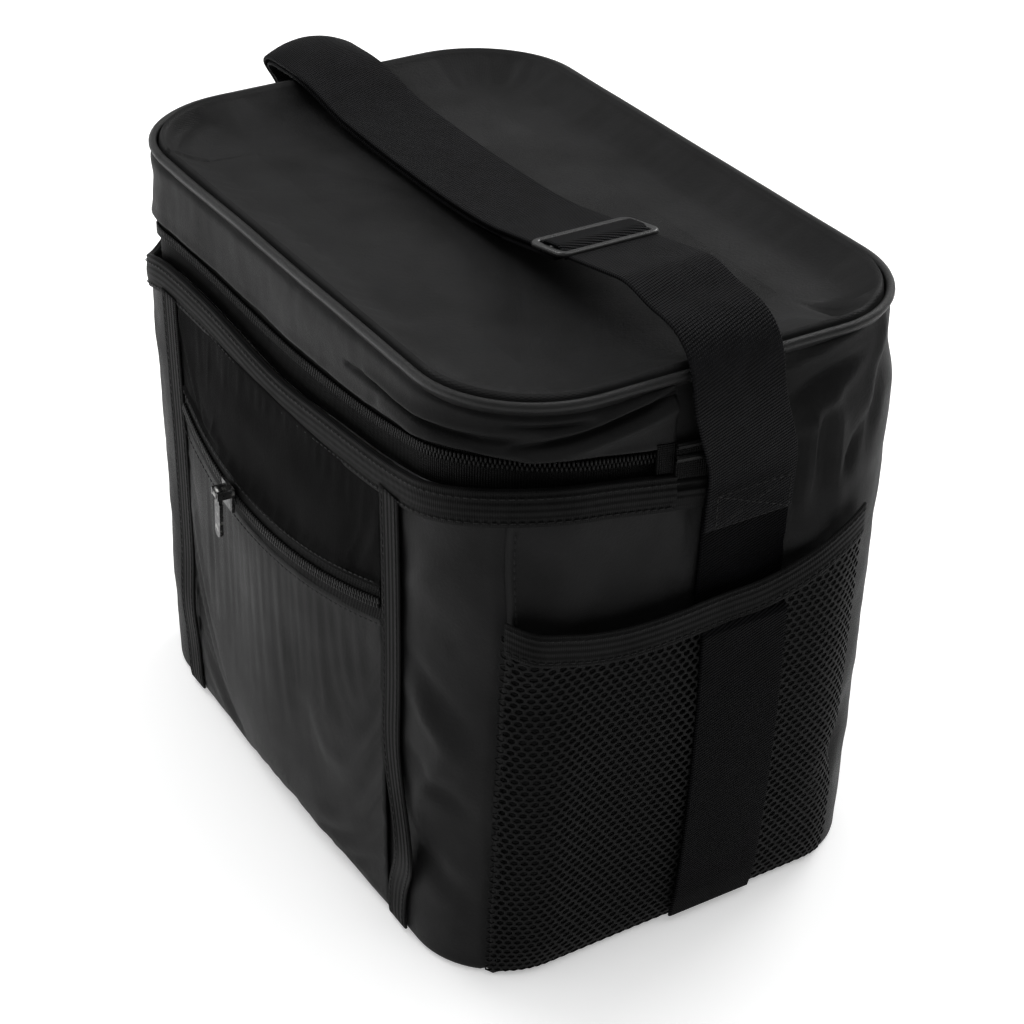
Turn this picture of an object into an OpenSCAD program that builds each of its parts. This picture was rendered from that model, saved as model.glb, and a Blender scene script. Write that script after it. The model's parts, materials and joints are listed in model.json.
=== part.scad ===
// Insulated cooler bag with a zipped lid flap, a zipped front pocket, two mesh side pockets and an adjustable
// carrying strap. Millimetres, +Z up. The origin is the middle of the base panel's underside and the front faces -Y.
// The walls are layers that follow one tapered, round-cornered outline: outer fabric, foam, then a foil liner.

/* [Body] */
// Width of the bag at its base
base_w = 255; // [240:1:262]
// Depth of the bag at its base
base_d = 177; // [170:1:180]
// Corner radius at the base
base_r = 33; // [31:1:36]
// Width of the bag at the rim, just under the lid zip
rim_w = 271; // [270:1:273]
// Depth of the bag at the rim
rim_d = 180; // [179:1:181]
// Corner radius at the rim
rim_r = 41; // [40:1:42]
// Height of the rim
rim_h = 188; // [186:1:190]
// Thickness of the outer fabric
fabric_t = 1.2; // [1:0.1:1.4]
// Thickness of the insulating foam
foam_t = 5; // [4:0.5:6]
// Thickness of the foil liner
liner_t = 0.8; // [0.6:0.1:1]
// Clearance between neighbouring layers
gap = 0.3; // [0.2:0.05:0.4]

/* [Lid] */
// Width of the lid
lid_w = 270; // [268:1:272]
// Depth of the lid
lid_d = 177; // [176:1:179]
// Corner radius of the lid
lid_r = 43; // [42:1:44]
// Height of the dished top surface of the lid
lid_top = 222.3; // [221.5:0.1:222.8]
// Height of the centre of the piping cord round the lid
piping_h = 228; // [227.5:0.1:228.5]
// Radius of the piping cord
piping_r = 2.2; // [1.8:0.1:2.3]
// Distance of the lid's fold line in front of the middle
fold_y = 19.5; // [19:0.5:21]
// Height of the lower edge of the lid's skirt
skirt_h = 202; // [201:0.5:203]

/* [Zips] */
// Height of the middle of the lid zip
zip_h = 197; // [196.5:0.5:197.5]
// Length of a slider
slider_l = 9; // [8:0.5:10]
// Height of a slider
slider_tall = 10; // [9:0.5:11]
// Length of a pull tab below its pin
pull_l = 19; // [16:1:22]
// Width of a pull tab
pull_w = 4.6; // [3.6:0.2:5]
// Height of the pocket zip at its lowest point
pocket_zip_h = 126; // [122:1:130]
// How far the pocket stands out in the middle
pocket_bulge = 7; // [6:0.5:8]
// How far the pocket zip sags in the middle
pocket_sag = 9; // [7:0.5:10]
// Distance of the pocket slider left of the middle
pocket_slider_x = 22; // [10:0.5:40]

/* [Trim] */
// Width of the pocket panel between the vertical tapes
pocket_w = 154; // [150:1:156]
// Width of the woven tapes and bindings
tape_w = 12; // [10:1:12]
// Height of the top edge of a mesh pocket
mesh_h = 144; // [138:1:146]
// How far a mesh pocket stands out at its fullest
mesh_bulge = 5; // [4.8:0.1:6]

/* [Strap] */
// Width of the strap webbing
strap_w = 35; // [32:1:36]
// Thickness of the webbing
strap_t = 1.6; // [1.4:0.1:1.8]
// Distance of the side webbing behind the middle
anchor_y = 15; // [14:1:16]
// Distance of the strap behind the middle, on top of the lid
strap_y = 2; // [2:0.5:4]
// Height of the line about which the strap swings
swing_h = 203.5; // [203:0.5:204.5]
// Spacing of the strap's two layers
layer_pitch = 2.4; // [2.2:0.1:2.6]
// Distance of the adjuster right of the middle
adjuster_x = 56; // [50:1:62]

/* [Hidden] */
$fn = 48;

fabric_black = "#2b2b2c";
lid_black = "#303031";
tape_black = "#1b1b1d";
mesh_black = "#151516";
webbing_black = "#1d1d1f";
foam_white = "#e6e6e2";
foil_silver = "#c3c6ca";
board_grey = "#8a8a88";
nylon_black = "#242426";
metal_dark = "#4a4a4d";

base_t = 1.2;          // thickness of the base panel
board_t = 1.5;         // thickness of the stiffener in the base
wall_z = base_t + gap; // where the walls start
corner_steps = 6;      // flats in each round corner of a wall
tiny = 0.001;
far = 400;             // longer than the bag, for half-plane cuts

// The layers' distances inside the outer surface of the wall
foam_in = fabric_t + gap;
liner_in = foam_in + foam_t + gap;
inside = liner_in + liner_t;
base_inset = inside + 0.5;  // the base's inner layers also clear the flats of the round corners

function mix(a, b, t) = a + (b - a) * t;
function ease(t) = let (c = min(1, max(0, t))) c * c * (3 - 2 * c);
function half_w(z) = mix(base_w, rim_w, z / rim_h) / 2;
function half_d(z) = mix(base_d, rim_d, z / rim_h) / 2;
function corner_r(z) = mix(base_r, rim_r, z / rim_h);

// ---- The wall outline ----
// Position u runs once round the wall, seen from above anticlockwise: 0 to 1 is the straight front, 1 to 2 the front
// right corner, 2 to 3 the right side, and so on to 8. off is the distance outside the outer surface.
function corner_point(cx, cy, r, angle, z) = [cx + r * cos(angle), cy + r * sin(angle), z];
function spot(u, z, off) =
    let (a = half_w(z) + off, b = half_d(z) + off, r = corner_r(z) + off)
    let (w = u - 8 * floor(u / 8), i = floor(w), t = w - i, cx = a - r, cy = b - r)
    i == 0 ? [mix(-cx, cx, t), -b, z] :
    i == 1 ? corner_point(cx, -cy, r, -90 + 90 * t, z) :
    i == 2 ? [a, mix(-cy, cy, t), z] :
    i == 3 ? corner_point(cx, cy, r, 90 * t, z) :
    i == 4 ? [mix(cx, -cx, t), b, z] :
    i == 5 ? corner_point(-cx, cy, r, 90 + 90 * t, z) :
    i == 6 ? [-a, mix(cy, -cy, t), z] :
    corner_point(-cx, -cy, r, 180 + 90 * t, z);

// Where a wall needs a column of points: its two ends, each end of a straight, and every flat of a corner
function columns(u0, u1) = concat(
    [u0],
    [for (i = [floor(u0) : floor(u1)], j = [0 : corner_steps - 1])
        let (u = i + j / corner_steps)
        if ((j == 0 || i % 2 != 0) && u > u0 + tiny && u < u1 - tiny) u],
    [u1]);

// Extra columns at an even pitch over a straight, for a surface that bulges there
function even(u0, u1, n) = [for (k = [0 : n]) mix(u0, u1, k / n)];

// A thin closed solid between two surfaces. outer and inner give a point for each pair of values of us and vs.
module sheet(us, vs, outer, inner) {
    nu = len(us);
    nv = len(vs);
    function id(side, i, j) = (side * nu + i) * nv + j;
    function quad(a, b, c, d) = [[a, b, c], [a, c, d]];
    points = concat([for (u = us, v = vs) outer(u, v)], [for (u = us, v = vs) inner(u, v)]);
    faces = concat(
        [for (i = [0 : nu - 2], j = [0 : nv - 2])
            each quad(id(0, i, j), id(0, i, j + 1), id(0, i + 1, j + 1), id(0, i + 1, j))],
        [for (i = [0 : nu - 2], j = [0 : nv - 2])
            each quad(id(1, i, j), id(1, i + 1, j), id(1, i + 1, j + 1), id(1, i, j + 1))],
        [for (i = [0 : nu - 2])
            each quad(id(0, i, 0), id(0, i + 1, 0), id(1, i + 1, 0), id(1, i, 0))],
        [for (i = [0 : nu - 2])
            each quad(id(0, i + 1, nv - 1), id(0, i, nv - 1), id(1, i, nv - 1), id(1, i + 1, nv - 1))],
        [for (j = [0 : nv - 2])
            each quad(id(0, 0, j + 1), id(0, 0, j), id(1, 0, j), id(1, 0, j + 1))],
        [for (j = [0 : nv - 2])
            each quad(id(0, nu - 1, j), id(0, nu - 1, j + 1), id(1, nu - 1, j + 1), id(1, nu - 1, j))]);
    polyhedron(points, faces);
}

// One layer of a wall, from u0 to u1 and z0 to z1, between two distances inside the outer surface
module wall_layer(u0, u1, z0, z1, near, deep) {
    sheet(columns(u0, u1), [z0, z1],
        function (u, z) spot(u, z, -near),
        function (u, z) spot(u, z, -deep));
}

// ---- Flat layers and upright bands, with true arcs ----
module rounded(w, d, r) {
    square([w - 2 * r, d], center = true);
    square([w, d - 2 * r], center = true);
    for (x = [-1, 1], y = [-1, 1]) translate([x * (w / 2 - r), y * (d / 2 - r)]) circle(r);
}

module base_outline(inset) {
    rounded(base_w - 2 * inset, base_d - 2 * inset, base_r - inset);
}

module lid_outline(inset) {
    rounded(lid_w - 2 * inset, lid_d - 2 * inset, lid_r - inset);
}

module rim_outline(inset) {
    rounded(rim_w - 2 * inset, rim_d - 2 * inset, rim_r - inset);
}

// Keeps the part of a flat shape that is in front of the fold line, or behind it
module in_front(clear) {
    intersection() {
        children();
        translate([-far / 2, -fold_y - clear - far]) square([far, far]);
    }
}

module behind(clear) {
    intersection() {
        children();
        translate([-far / 2, -fold_y + clear]) square([far, far]);
    }
}

module layer(z0, z1) {
    translate([0, 0, z0]) linear_extrude(z1 - z0) children();
}

module lid_band(near, deep) {
    difference() {
        lid_outline(near);
        lid_outline(deep);
    }
}

// ---- Base ----
module base_panel() {
    color(fabric_black) layer(0, base_t) base_outline(0);
}

module base_board() {
    color(board_grey) layer(wall_z, wall_z + board_t) base_outline(base_inset);
}

foam_base_z = wall_z + board_t + gap;
module foam_base() {
    color(foam_white) layer(foam_base_z, foam_base_z + foam_t) base_outline(base_inset);
}

liner_base_z = foam_base_z + foam_t + gap;
module liner_base() {
    color(foil_silver) layer(liner_base_z, liner_base_z + liner_t) base_outline(base_inset);
}

// ---- Walls ----
front_seam = 0.589;  // share of a front corner that belongs to the front panel
back_seam = 0.21;    // share of a rear corner that belongs to the side panel
seam_half = 0.003;   // half of the clearance at a seam, in u
foam_top = rim_h - 1.5;
liner_top = rim_h - 0.8;

u_front = [-front_seam + seam_half, 1 + front_seam - seam_half];
u_right = [1 + front_seam + seam_half, 3 + back_seam - seam_half];
u_back = [3 + back_seam + seam_half, 6 - back_seam - seam_half];
u_left = [6 - back_seam + seam_half, 8 - front_seam - seam_half];

module outer_wall(u) {
    color(fabric_black) wall_layer(u[0], u[1], wall_z, rim_h, 0, fabric_t);
}

module foam_wall(u) {
    color(foam_white) wall_layer(u[0], u[1], wall_z, foam_top, foam_in, foam_in + foam_t);
}

module liner_wall(u) {
    color(foil_silver) wall_layer(u[0], u[1], wall_z, liner_top, liner_in, inside);
}

// ---- Lid ----
panel_inset = 0.4;                      // lid panel inside the lid's outline
lip_top = piping_h - piping_r - 0.2;    // the panel turns up at its edge to meet the piping
skirt_in = 1.5;                         // skirt's outer surface inside the outline
skirt_top = lid_top - fabric_t - gap;
lid_foam_in = skirt_in + fabric_t + 0.5;
lid_foam_top = lid_top - fabric_t - gap;
lid_foam_t = 6;
lid_liner_top = lid_foam_top - lid_foam_t - gap;
fold_clear = 0.3;                       // clearance each side of the fold line

module lid_shell() {
    layer(lid_top - fabric_t, lid_top) children(0);
    layer(lid_top - fabric_t, lip_top) children(1);
}

module lid_rear_panel() {
    color(lid_black) lid_shell() {
        behind(fold_clear) lid_outline(panel_inset);
        behind(fold_clear) lid_band(panel_inset, panel_inset + fabric_t);
    }
}

module lid_front_panel() {
    color(lid_black) lid_shell() {
        in_front(fold_clear) lid_outline(panel_inset);
        in_front(fold_clear) lid_band(panel_inset, panel_inset + fabric_t);
    }
}

module lid_rear_foam() {
    color(foam_white) layer(lid_foam_top - lid_foam_t, lid_foam_top) behind(fold_clear) lid_outline(lid_foam_in);
}

module lid_front_foam() {
    color(foam_white) layer(lid_foam_top - lid_foam_t, lid_foam_top) in_front(fold_clear) lid_outline(lid_foam_in);
}

module lid_rear_liner() {
    color(foil_silver) layer(lid_liner_top - liner_t, lid_liner_top) behind(fold_clear) lid_outline(lid_foam_in);
}

module lid_front_liner() {
    color(foil_silver) layer(lid_liner_top - liner_t, lid_liner_top) in_front(fold_clear) lid_outline(lid_foam_in);
}

// The fabric behind the fold line that joins the side and back walls to the lid
module rear_yoke() {
    color(fabric_black) layer(rim_h + gap, skirt_top) behind(fold_clear) lid_band(panel_inset, panel_inset + fabric_t);
}

module lid_skirt() {
    color(fabric_black) layer(skirt_h, skirt_top) in_front(fold_clear) lid_band(skirt_in, skirt_in + fabric_t);
}

// The piping cord follows the lid's edge: two corners, the straight between them, and a side run to the fold line
module piping(front) {
    cx = lid_w / 2 - lid_r;
    cy = lid_d / 2 - lid_r;
    bend = lid_r - piping_r;
    dir = front ? -1 : 1;
    fold_end = -fold_y + dir * (piping_r + gap);
    translate([0, 0, piping_h]) {
        translate([-cx, dir * (cy + bend), 0]) rotate([0, 90, 0]) cylinder(r = piping_r, h = 2 * cx);
        for (side = [-1, 1]) {
            translate([side * cx, dir * cy, 0])
                rotate([0, 0, dir * side > 0 ? (front ? 180 : 0) : (front ? 270 : 90)])
                    rotate_extrude(angle = 90) translate([bend, 0]) circle(piping_r);
            translate([side * (cx + bend), min(dir * cy, fold_end), 0])
                rotate([-90, 0, 0]) cylinder(r = piping_r, h = abs(dir * cy - fold_end));
        }
    }
}

module lid_rear_piping() {
    color(lid_black) piping(false);
}

module lid_front_piping() {
    color(lid_black) piping(true);
}

// ---- Lid zip ----
// Across a zip, "out" is measured from the middle of its coils
coil_half = 0.75;      // half the thickness of a coil
coil_slot = 0.9;       // half the gap between the two coils
coil_tall = 1.5;
tape_near = -1.05;     // outer face of a zip tape
tape_deep = -1.85;     // inner face of a zip tape
zip_in = 1.55;         // middle of the lid zip's coils inside the lid's outline
tape_slot = 1.1;       // half the gap between the two zip tapes
rim_clear = 0.4;

module lid_zip_band(z0, z1, near, deep) {
    layer(z0, z1) in_front(fold_clear) lid_band(zip_in - near, zip_in - deep);
}

module zip_tape_lower() {
    color(tape_black) lid_zip_band(rim_h + rim_clear, zip_h - tape_slot, tape_near, tape_deep);
}

module zip_tape_upper() {
    color(tape_black) lid_zip_band(zip_h + tape_slot, skirt_h - gap, tape_near, tape_deep);
}

module zip_coil_lower() {
    color(nylon_black) lid_zip_band(zip_h - coil_slot - coil_tall, zip_h - coil_slot, coil_half, -coil_half);
}

module zip_coil_upper() {
    color(nylon_black) lid_zip_band(zip_h + coil_slot, zip_h + coil_slot + coil_tall, coil_half, -coil_half);
}

tab_l = 9;             // length of a zip end tab
tab_t = 1.1;
module zip_end_tabs() {
    color(tape_black) for (side = [-1, 1])
        translate([side * (lid_w / 2 + tab_t / 2), -fold_y + 1 + tab_l / 2, zip_h])
            cube([tab_t, tab_l, 14], center = true);
}

// The woven binding round the rim, in front of the fold line
binding_t = 1.6;
module top_binding() {
    color(tape_black) layer(rim_h - tape_w, rim_h) in_front(fold_clear) difference() {
        rim_outline(-gap - binding_t);
        rim_outline(-gap);
    }
}

// ---- Slider and pull tab ----
// A slider for a zip in the front: x along the zip, -y out of the bag, z up, from the middle of the coils
plate_t = 1.2;
plate_near = coil_half + 0.4;
plate_deep = tape_deep - 0.4;
neck_w = 3;
neck_t = 1;
pin_r = 0.8;
pin_bore = 0.85;
pin_out = plate_near + plate_t + 3.25; // how far the pull's pin is from the coils
pin_up = 2;
lug_in = 2;
lug_t = 0.9;
eye_r = 1.9;
pull_t = 1.4;

module slider_shape() {
    top = plate_near + plate_t;
    translate([-slider_l / 2, -top, -slider_tall / 2]) cube([slider_l, plate_t, slider_tall]);
    translate([-slider_l / 2, -plate_deep, -slider_tall / 2]) cube([slider_l, plate_t, slider_tall]);
    translate([-neck_w / 2, -top + plate_t / 2, -neck_t / 2])
        cube([neck_w, top - plate_deep, neck_t]);
    for (side = [-1, 1])
        translate([side * (lug_in + lug_t / 2) - lug_t / 2, -pin_out - 1.6, pin_up - 1.6])
            cube([lug_t, pin_out + 1.6 - top + plate_t / 2, 3.2]);
    translate([-lug_in - lug_t / 2, -pin_out, pin_up])
        rotate([0, 90, 0]) cylinder(r = pin_r, h = 2 * lug_in + lug_t);
}

module pull_shape() {
    eye_w = 2 * lug_in - 0.4;
    difference() {
        union() {
            translate([-eye_w / 2, -pin_out, pin_up]) rotate([0, 90, 0]) cylinder(r = eye_r, h = eye_w);
            translate([-eye_w / 2, -pin_out - pull_t / 2, pin_up - 5]) cube([eye_w, pull_t, 4]);
            translate([-pull_w / 2, -pin_out - pull_t / 2, pin_up - pull_l + pull_w / 2])
                cube([pull_w, pull_t, pull_l - pull_w / 2 - 4]);
            translate([0, -pin_out - pull_t / 2, pin_up - pull_l + pull_w / 2])
                rotate([-90, 0, 0]) cylinder(d = pull_w, h = pull_t);
        }
        translate([-eye_w / 2 - 1, -pin_out, pin_up]) rotate([0, 90, 0]) cylinder(r = pin_bore, h = eye_w + 2);
    }
}

// The lid zip is closed with its slider near the left end
slider_back = 1.5;     // clearance between the slider and the end of the zip
module at_lid_slider() {
    translate([-lid_w / 2 + zip_in, -fold_y - slider_back - slider_l / 2, zip_h]) rotate([0, 0, -90]) children();
}

module zip_slider() {
    color(metal_dark) at_lid_slider() slider_shape();
}

module zip_pull() {
    color(metal_dark) at_lid_slider() pull_shape();
}

// ---- Front pocket ----
// The pocket zip is an arc in a plane that tilts forward, so it both stands out and sags in the middle
edge_off = 0.6;        // the pocket panels' distance from the wall at their edges
pocket_half = pocket_w / 2 - 0.5;
arc_dev = norm([pocket_bulge, pocket_sag]);
arc_tilt = atan2(pocket_sag, pocket_bulge);
arc_r = (pow(pocket_half, 2) + pow(arc_dev, 2)) / (2 * arc_dev);
arc_low = [0, -half_d(pocket_zip_h) - edge_off - fabric_t - pocket_bulge, pocket_zip_h];
arc_out = [0, -cos(arc_tilt), -sin(arc_tilt)];
arc_centre = arc_low - arc_r * arc_out;
arc_axis = [0, -sin(arc_tilt), cos(arc_tilt)];
arc_half = asin(pocket_half / arc_r);

function arc_point(x) = arc_low - arc_out * (arc_r - sqrt(pow(arc_r, 2) - pow(x, 2))) + [x, 0, 0];

module arc_frame() {
    translate(arc_centre) rotate([arc_tilt, 0, 0]) rotate([0, 0, -90]) children();
}

// A strip along the pocket zip: out from the coils' middle, and up from the zip's middle
module pocket_strip(out0, out1, up0, up1) {
    arc_frame() rotate([0, 0, -arc_half]) rotate_extrude(angle = 2 * arc_half)
        translate([arc_r, 0]) rotate(arc_tilt) translate([out0, up0]) square([out1 - out0, up1 - up0]);
}

pocket_tape_w = 5.6;
module pocket_tape_upper() {
    color(tape_black) pocket_strip(tape_deep, tape_near, tape_slot, pocket_tape_w);
}

module pocket_tape_lower() {
    color(tape_black) pocket_strip(tape_deep, tape_near, -pocket_tape_w, -tape_slot);
}

module pocket_coil_upper() {
    color(nylon_black) pocket_strip(-coil_half, coil_half, coil_slot, coil_slot + coil_tall);
}

module pocket_coil_lower() {
    color(nylon_black) pocket_strip(-coil_half, coil_half, -coil_slot - coil_tall, -coil_slot);
}

module at_pocket_slider() {
    translate(arc_centre) rotate(a = -asin(pocket_slider_x / arc_r), v = arc_axis)
        translate(arc_low - arc_centre) children();
}

module pocket_slider() {
    color(metal_dark) at_pocket_slider() slider_shape();
}

module pocket_pull() {
    color(metal_dark) at_pocket_slider() pull_shape();
}

// A pocket panel runs from a straight edge at the wall to the curved edge at the zip tape
pocket_cols = 12;
pocket_rows = 6;
panel_gap = pocket_tape_w + 0.5;
panel_top = rim_h - tape_w - gap;
function fullness(v) = pow(sin(90 * v), 0.6);
function pocket_point(x, v, edge_z, side, out) =
    let (zip = arc_point(x), wall = -half_d(edge_z) - edge_off)
    let (z = mix(edge_z, zip[2] + side * panel_gap, v))
    [x, mix(wall, zip[1] + fabric_t, fullness(v)) - out, z];

module pocket_panel(edge_z, side) {
    vs = [for (k = [0 : pocket_rows]) k / pocket_rows];
    sheet(-side * even(-pocket_half, pocket_half, pocket_cols), vs,
        function (x, v) pocket_point(x, v, edge_z, side, fabric_t),
        function (x, v) pocket_point(x, v, edge_z, side, 0));
}

module pocket_lower_panel() {
    color(fabric_black) pocket_panel(wall_z, -1);
}

module pocket_upper_panel() {
    color(fabric_black) pocket_panel(panel_top, 1);
}

// The woven tapes that hold the pocket's sides
strip_t = 1.2;
module tape_strip(side) {
    x0 = side * pocket_w / 2;
    x1 = side * (pocket_w / 2 + tape_w);
    color(tape_black) sheet([min(x0, x1), max(x0, x1)], [wall_z, panel_top],
        function (x, z) [x, -half_d(z) - gap - strip_t, z],
        function (x, z) [x, -half_d(z) - gap, z]);
}

// ---- Mesh side pockets ----
mesh_t = 0.7;
mesh_off = 2.3;        // distance from the wall at the sewn edges, where the side webbing lies beneath
mesh_rise = 0.7;       // share of its fullest depth that the pocket keeps at its mouth
mesh_rows = 8;
mesh_cols = even(1 + front_seam + 0.01, 2, 3);
mesh_side = even(2.1, 2.9, 8);
mesh_end = even(3, 3 + back_seam - 0.01, 2);
mesh_us = concat(mesh_cols, mesh_side, mesh_end);
mesh_u0 = mesh_us[0];
mesh_u1 = mesh_us[len(mesh_us) - 1];
function mesh_plateau(u) = let (t = (u - mesh_u0) / (mesh_u1 - mesh_u0)) sin(90 * min(1, 5 * min(t, 1 - t)));
function mesh_swell(h) = h < 0.7 ? sin(90 * h / 0.7) : mix(1, mesh_rise, (h - 0.7) / 0.3);
function mesh_depth(u, z) = mesh_off + mesh_bulge * mesh_plateau(u) * mesh_swell((z - wall_z) / (mesh_h - wall_z));

module mesh_layer(zs, near, deep) {
    sheet(mesh_us, zs,
        function (u, z) spot(u, z, mesh_depth(u, z) + near),
        function (u, z) spot(u, z, mesh_depth(u, z) + deep));
}

module mesh_pocket() {
    color(mesh_black) mesh_layer(even(wall_z, mesh_h, mesh_rows), mesh_t, 0);
}

module mesh_binding() {
    color(tape_black) mesh_layer(even(mesh_h - tape_w, mesh_h, 2), mesh_t + gap + 1, mesh_t + gap);
}

// ---- Side webbing, ring and loops ----
web_out = gap + strap_t;
web_top = 185.5;
module side_web(top) {
    color(webbing_black) sheet([anchor_y - strap_w / 2, anchor_y + strap_w / 2], [wall_z, top],
        function (y, z) [half_w(z) + web_out, y, z],
        function (y, z) [half_w(z) + gap, y, z]);
}

bar = 3;               // the ring's bars are square in section
ring_low = 160;        // underside of the ring
ring_tall = 15;
ring_x = half_w(ring_low + ring_tall) + web_out + gap + strap_t + gap + bar / 2;
left_web_top = ring_low - 2;

module ring_web_profile(z0, z1, open_z) {
    half = bar / 2 + gap;
    difference() {
        translate([-half - strap_t, z0]) square([2 * (half + strap_t), z1 - z0]);
        translate([-half, open_z[0]]) square([2 * half, open_z[1] - open_z[0]]);
    }
}

module ring_web(z0, z1, open_z) {
    color(webbing_black) translate([-ring_x, anchor_y + strap_w / 2, 0]) rotate([90, 0, 0])
        linear_extrude(strap_w) ring_web_profile(z0, z1, open_z);
}

// The left webbing folds over the ring's lower bar
module ring_loop() {
    ring_web(ring_low - 16, ring_low + bar + gap + strap_t, [ring_low - 17, ring_low + bar + gap]);
}

// The strap turns back under the ring's upper bar
module strap_turn() {
    bar_low = ring_low + ring_tall - bar;
    ring_web(bar_low - gap - strap_t, web_top, [bar_low - gap, web_top + 1]);
}

module strap_ring() {
    wide = strap_w + 2;
    color(nylon_black) translate([-ring_x - bar / 2, anchor_y, ring_low]) difference() {
        translate([0, -wide / 2 - bar, 0]) cube([bar, wide + 2 * bar, ring_tall]);
        translate([-1, -wide / 2, bar]) cube([bar + 2, wide, ring_tall - 2 * bar]);
    }
}

// ---- Strap ----
// The strap's centre line in the XZ plane, from the right side over the lid to the left side: smooth curves joined by
// one straight slope, on which the adjuster slides. Each row holds the four control points of a Bezier curve.
slope_top = [94, 243.6];
slope_end = [24, 230.6];
right_side = [146, swing_h];
left_side = [-156, swing_h];
crest = [-134, 243];
rest_end = [-84, 230.5];
strap_curves = [
    [right_side, [152, 232], [118, 248.06], slope_top],
    [slope_top, mix(slope_top, slope_end, 1 / 3), mix(slope_top, slope_end, 2 / 3), slope_end],
    [slope_end, [2, 226.5], [-50, 227], rest_end],
    [rest_end, [-104, 232.6], [-118, 243], crest],
    [crest, [-152, 243], [-158, 224], left_side]
];
curve_steps = 10;
tongue_steps = [80, 60, 40, 20];

function bezier(p, t) =
    pow(1 - t, 3) * p[0] + 3 * pow(1 - t, 2) * t * p[1] + 3 * (1 - t) * t * t * p[2] + pow(t, 3) * p[3];
function bezier_way(p, t) =
    pow(1 - t, 2) * (p[1] - p[0]) + 2 * (1 - t) * t * (p[2] - p[1]) + t * t * (p[3] - p[2]);
function unit(v) = v / norm(v);

// A station is [centre x, centre z, normal x, normal z, middle y, half width]
function strap_middle(x) = mix(strap_y, anchor_y, ease((abs(x) - 100) / 46));
function curve_station(p, t) =
    let (c = bezier(p, t), d = unit(bezier_way(p, t)))
    [c[0], c[1], d[1], -d[0], strap_middle(c[0]), strap_w / 2];

// Both ends are round tongues about the swing line, so that they turn in their own outline
function tongue_station(end, side, angle) =
    [end[0], end[1] - strap_w / 2 * sin(angle), side, 0, anchor_y, strap_w / 2 * cos(angle)];
function strap_run(first, last) =
    [for (i = [first : last], k = [i == first ? 0 : 1 : curve_steps]) curve_station(strap_curves[i], k / curve_steps)];
right_tongue = [for (a = tongue_steps) tongue_station(right_side, 1, a)];
left_tongue = [for (k = [len(tongue_steps) - 1 : -1 : 0]) tongue_station(left_side, -1, tongue_steps[k])];

function strap_point(s, side, off) = [s[0] + s[2] * off, s[4] + side * s[5], s[1] + s[3] * off];

module ribbon(stations, drop) {
    sheet(stations, [1, -1],
        function (s, side) strap_point(s, side, strap_t / 2 - drop),
        function (s, side) strap_point(s, side, -strap_t / 2 - drop));
}

module strap_webbing() {
    color(webbing_black) ribbon(concat(right_tongue, strap_run(0, 4), left_tongue), 0);
}

// ---- Adjuster ----
slope = slope_top - slope_end;
slope_angle = atan2(slope[1], slope[0]);
adjuster_z = slope_end[1] + (adjuster_x - slope_end[0]) * tan(slope_angle);
adjuster_l = 21;
adjuster_bar = 3;
rail_w = 2.5;
adjuster_back = 10;    // how far the adjuster can move towards the left

// The return layer ends just short of the adjuster's middle bar at its leftmost place
return_end_x = adjuster_x - (adjuster_back + adjuster_bar / 2 + 1) * cos(slope_angle);
return_end = [return_end_x, slope_end[1] + (return_end_x - slope_end[0]) * tan(slope_angle)];
return_curve = [return_end, mix(return_end, slope_end, 1 / 3), mix(return_end, slope_end, 2 / 3), slope_end];
module strap_return() {
    start = [for (k = [0, 1]) curve_station(return_curve, k)];
    run = [for (k = [1 : 3 * curve_steps]) strap_run(2, 4)[k]];
    color(webbing_black) ribbon(concat(start, run, left_tongue), layer_pitch);
}

module strap_adjuster() {
    half_l = adjuster_l / 2;
    rail_y = strap_w / 2 + 0.5;
    bar_low = strap_t / 2 + 0.4;
    bar_t = 2.2;
    mid_t = 1.4;
    mid_top = -strap_t / 2 - 0.3;
    color(nylon_black) translate([adjuster_x, strap_y, adjuster_z]) rotate([0, -slope_angle, 0]) {
        for (x = [-half_l, half_l - adjuster_bar])
            translate([x, -rail_y - rail_w, bar_low]) cube([adjuster_bar, 2 * (rail_y + rail_w), bar_t]);
        for (y = [-rail_y - rail_w, rail_y])
            translate([-half_l, y, mid_top - mid_t]) cube([adjuster_l, rail_w, bar_low + bar_t - mid_top + mid_t]);
        translate([-adjuster_bar / 2, -rail_y - rail_w, mid_top - mid_t])
            cube([adjuster_bar, 2 * (rail_y + rail_w), mid_t]);
    }
}

base_panel();
base_board();
foam_base();
liner_base();
outer_wall(u_front);  // front_panel
outer_wall(u_back);  // back_panel
outer_wall(u_left);  // side_panel_left
outer_wall(u_right);  // side_panel_right
foam_wall(u_front);  // foam_front
foam_wall(u_back);  // foam_back
foam_wall(u_left);  // foam_left
foam_wall(u_right);  // foam_right
liner_wall(u_front);  // liner_front
liner_wall(u_back);  // liner_back
liner_wall(u_left);  // liner_left
liner_wall(u_right);  // liner_right
rear_yoke();
lid_rear_panel();
lid_rear_foam();
lid_rear_liner();
lid_rear_piping();
top_binding();
zip_tape_lower();
zip_coil_lower();
zip_end_tabs();
tape_strip(-1);  // tape_strip_left
tape_strip(1);  // tape_strip_right
pocket_upper_panel();
pocket_lower_panel();
pocket_tape_upper();
pocket_tape_lower();
pocket_coil_upper();
pocket_coil_lower();
mirror([1, 0, 0]) mesh_pocket();  // mesh_pocket_left
mesh_pocket();  // mesh_pocket_right
mirror([1, 0, 0]) mesh_binding();  // mesh_binding_left
mesh_binding();  // mesh_binding_right
mirror([1, 0, 0]) side_web(left_web_top);  // side_webbing_left
side_web(web_top);  // side_webbing_right
ring_loop();
strap_ring();
strap_turn();
lid_front_panel();
lid_front_foam();
lid_front_liner();
lid_front_piping();
lid_skirt();
zip_tape_upper();
zip_coil_upper();
zip_slider();
zip_pull();
pocket_slider();
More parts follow.
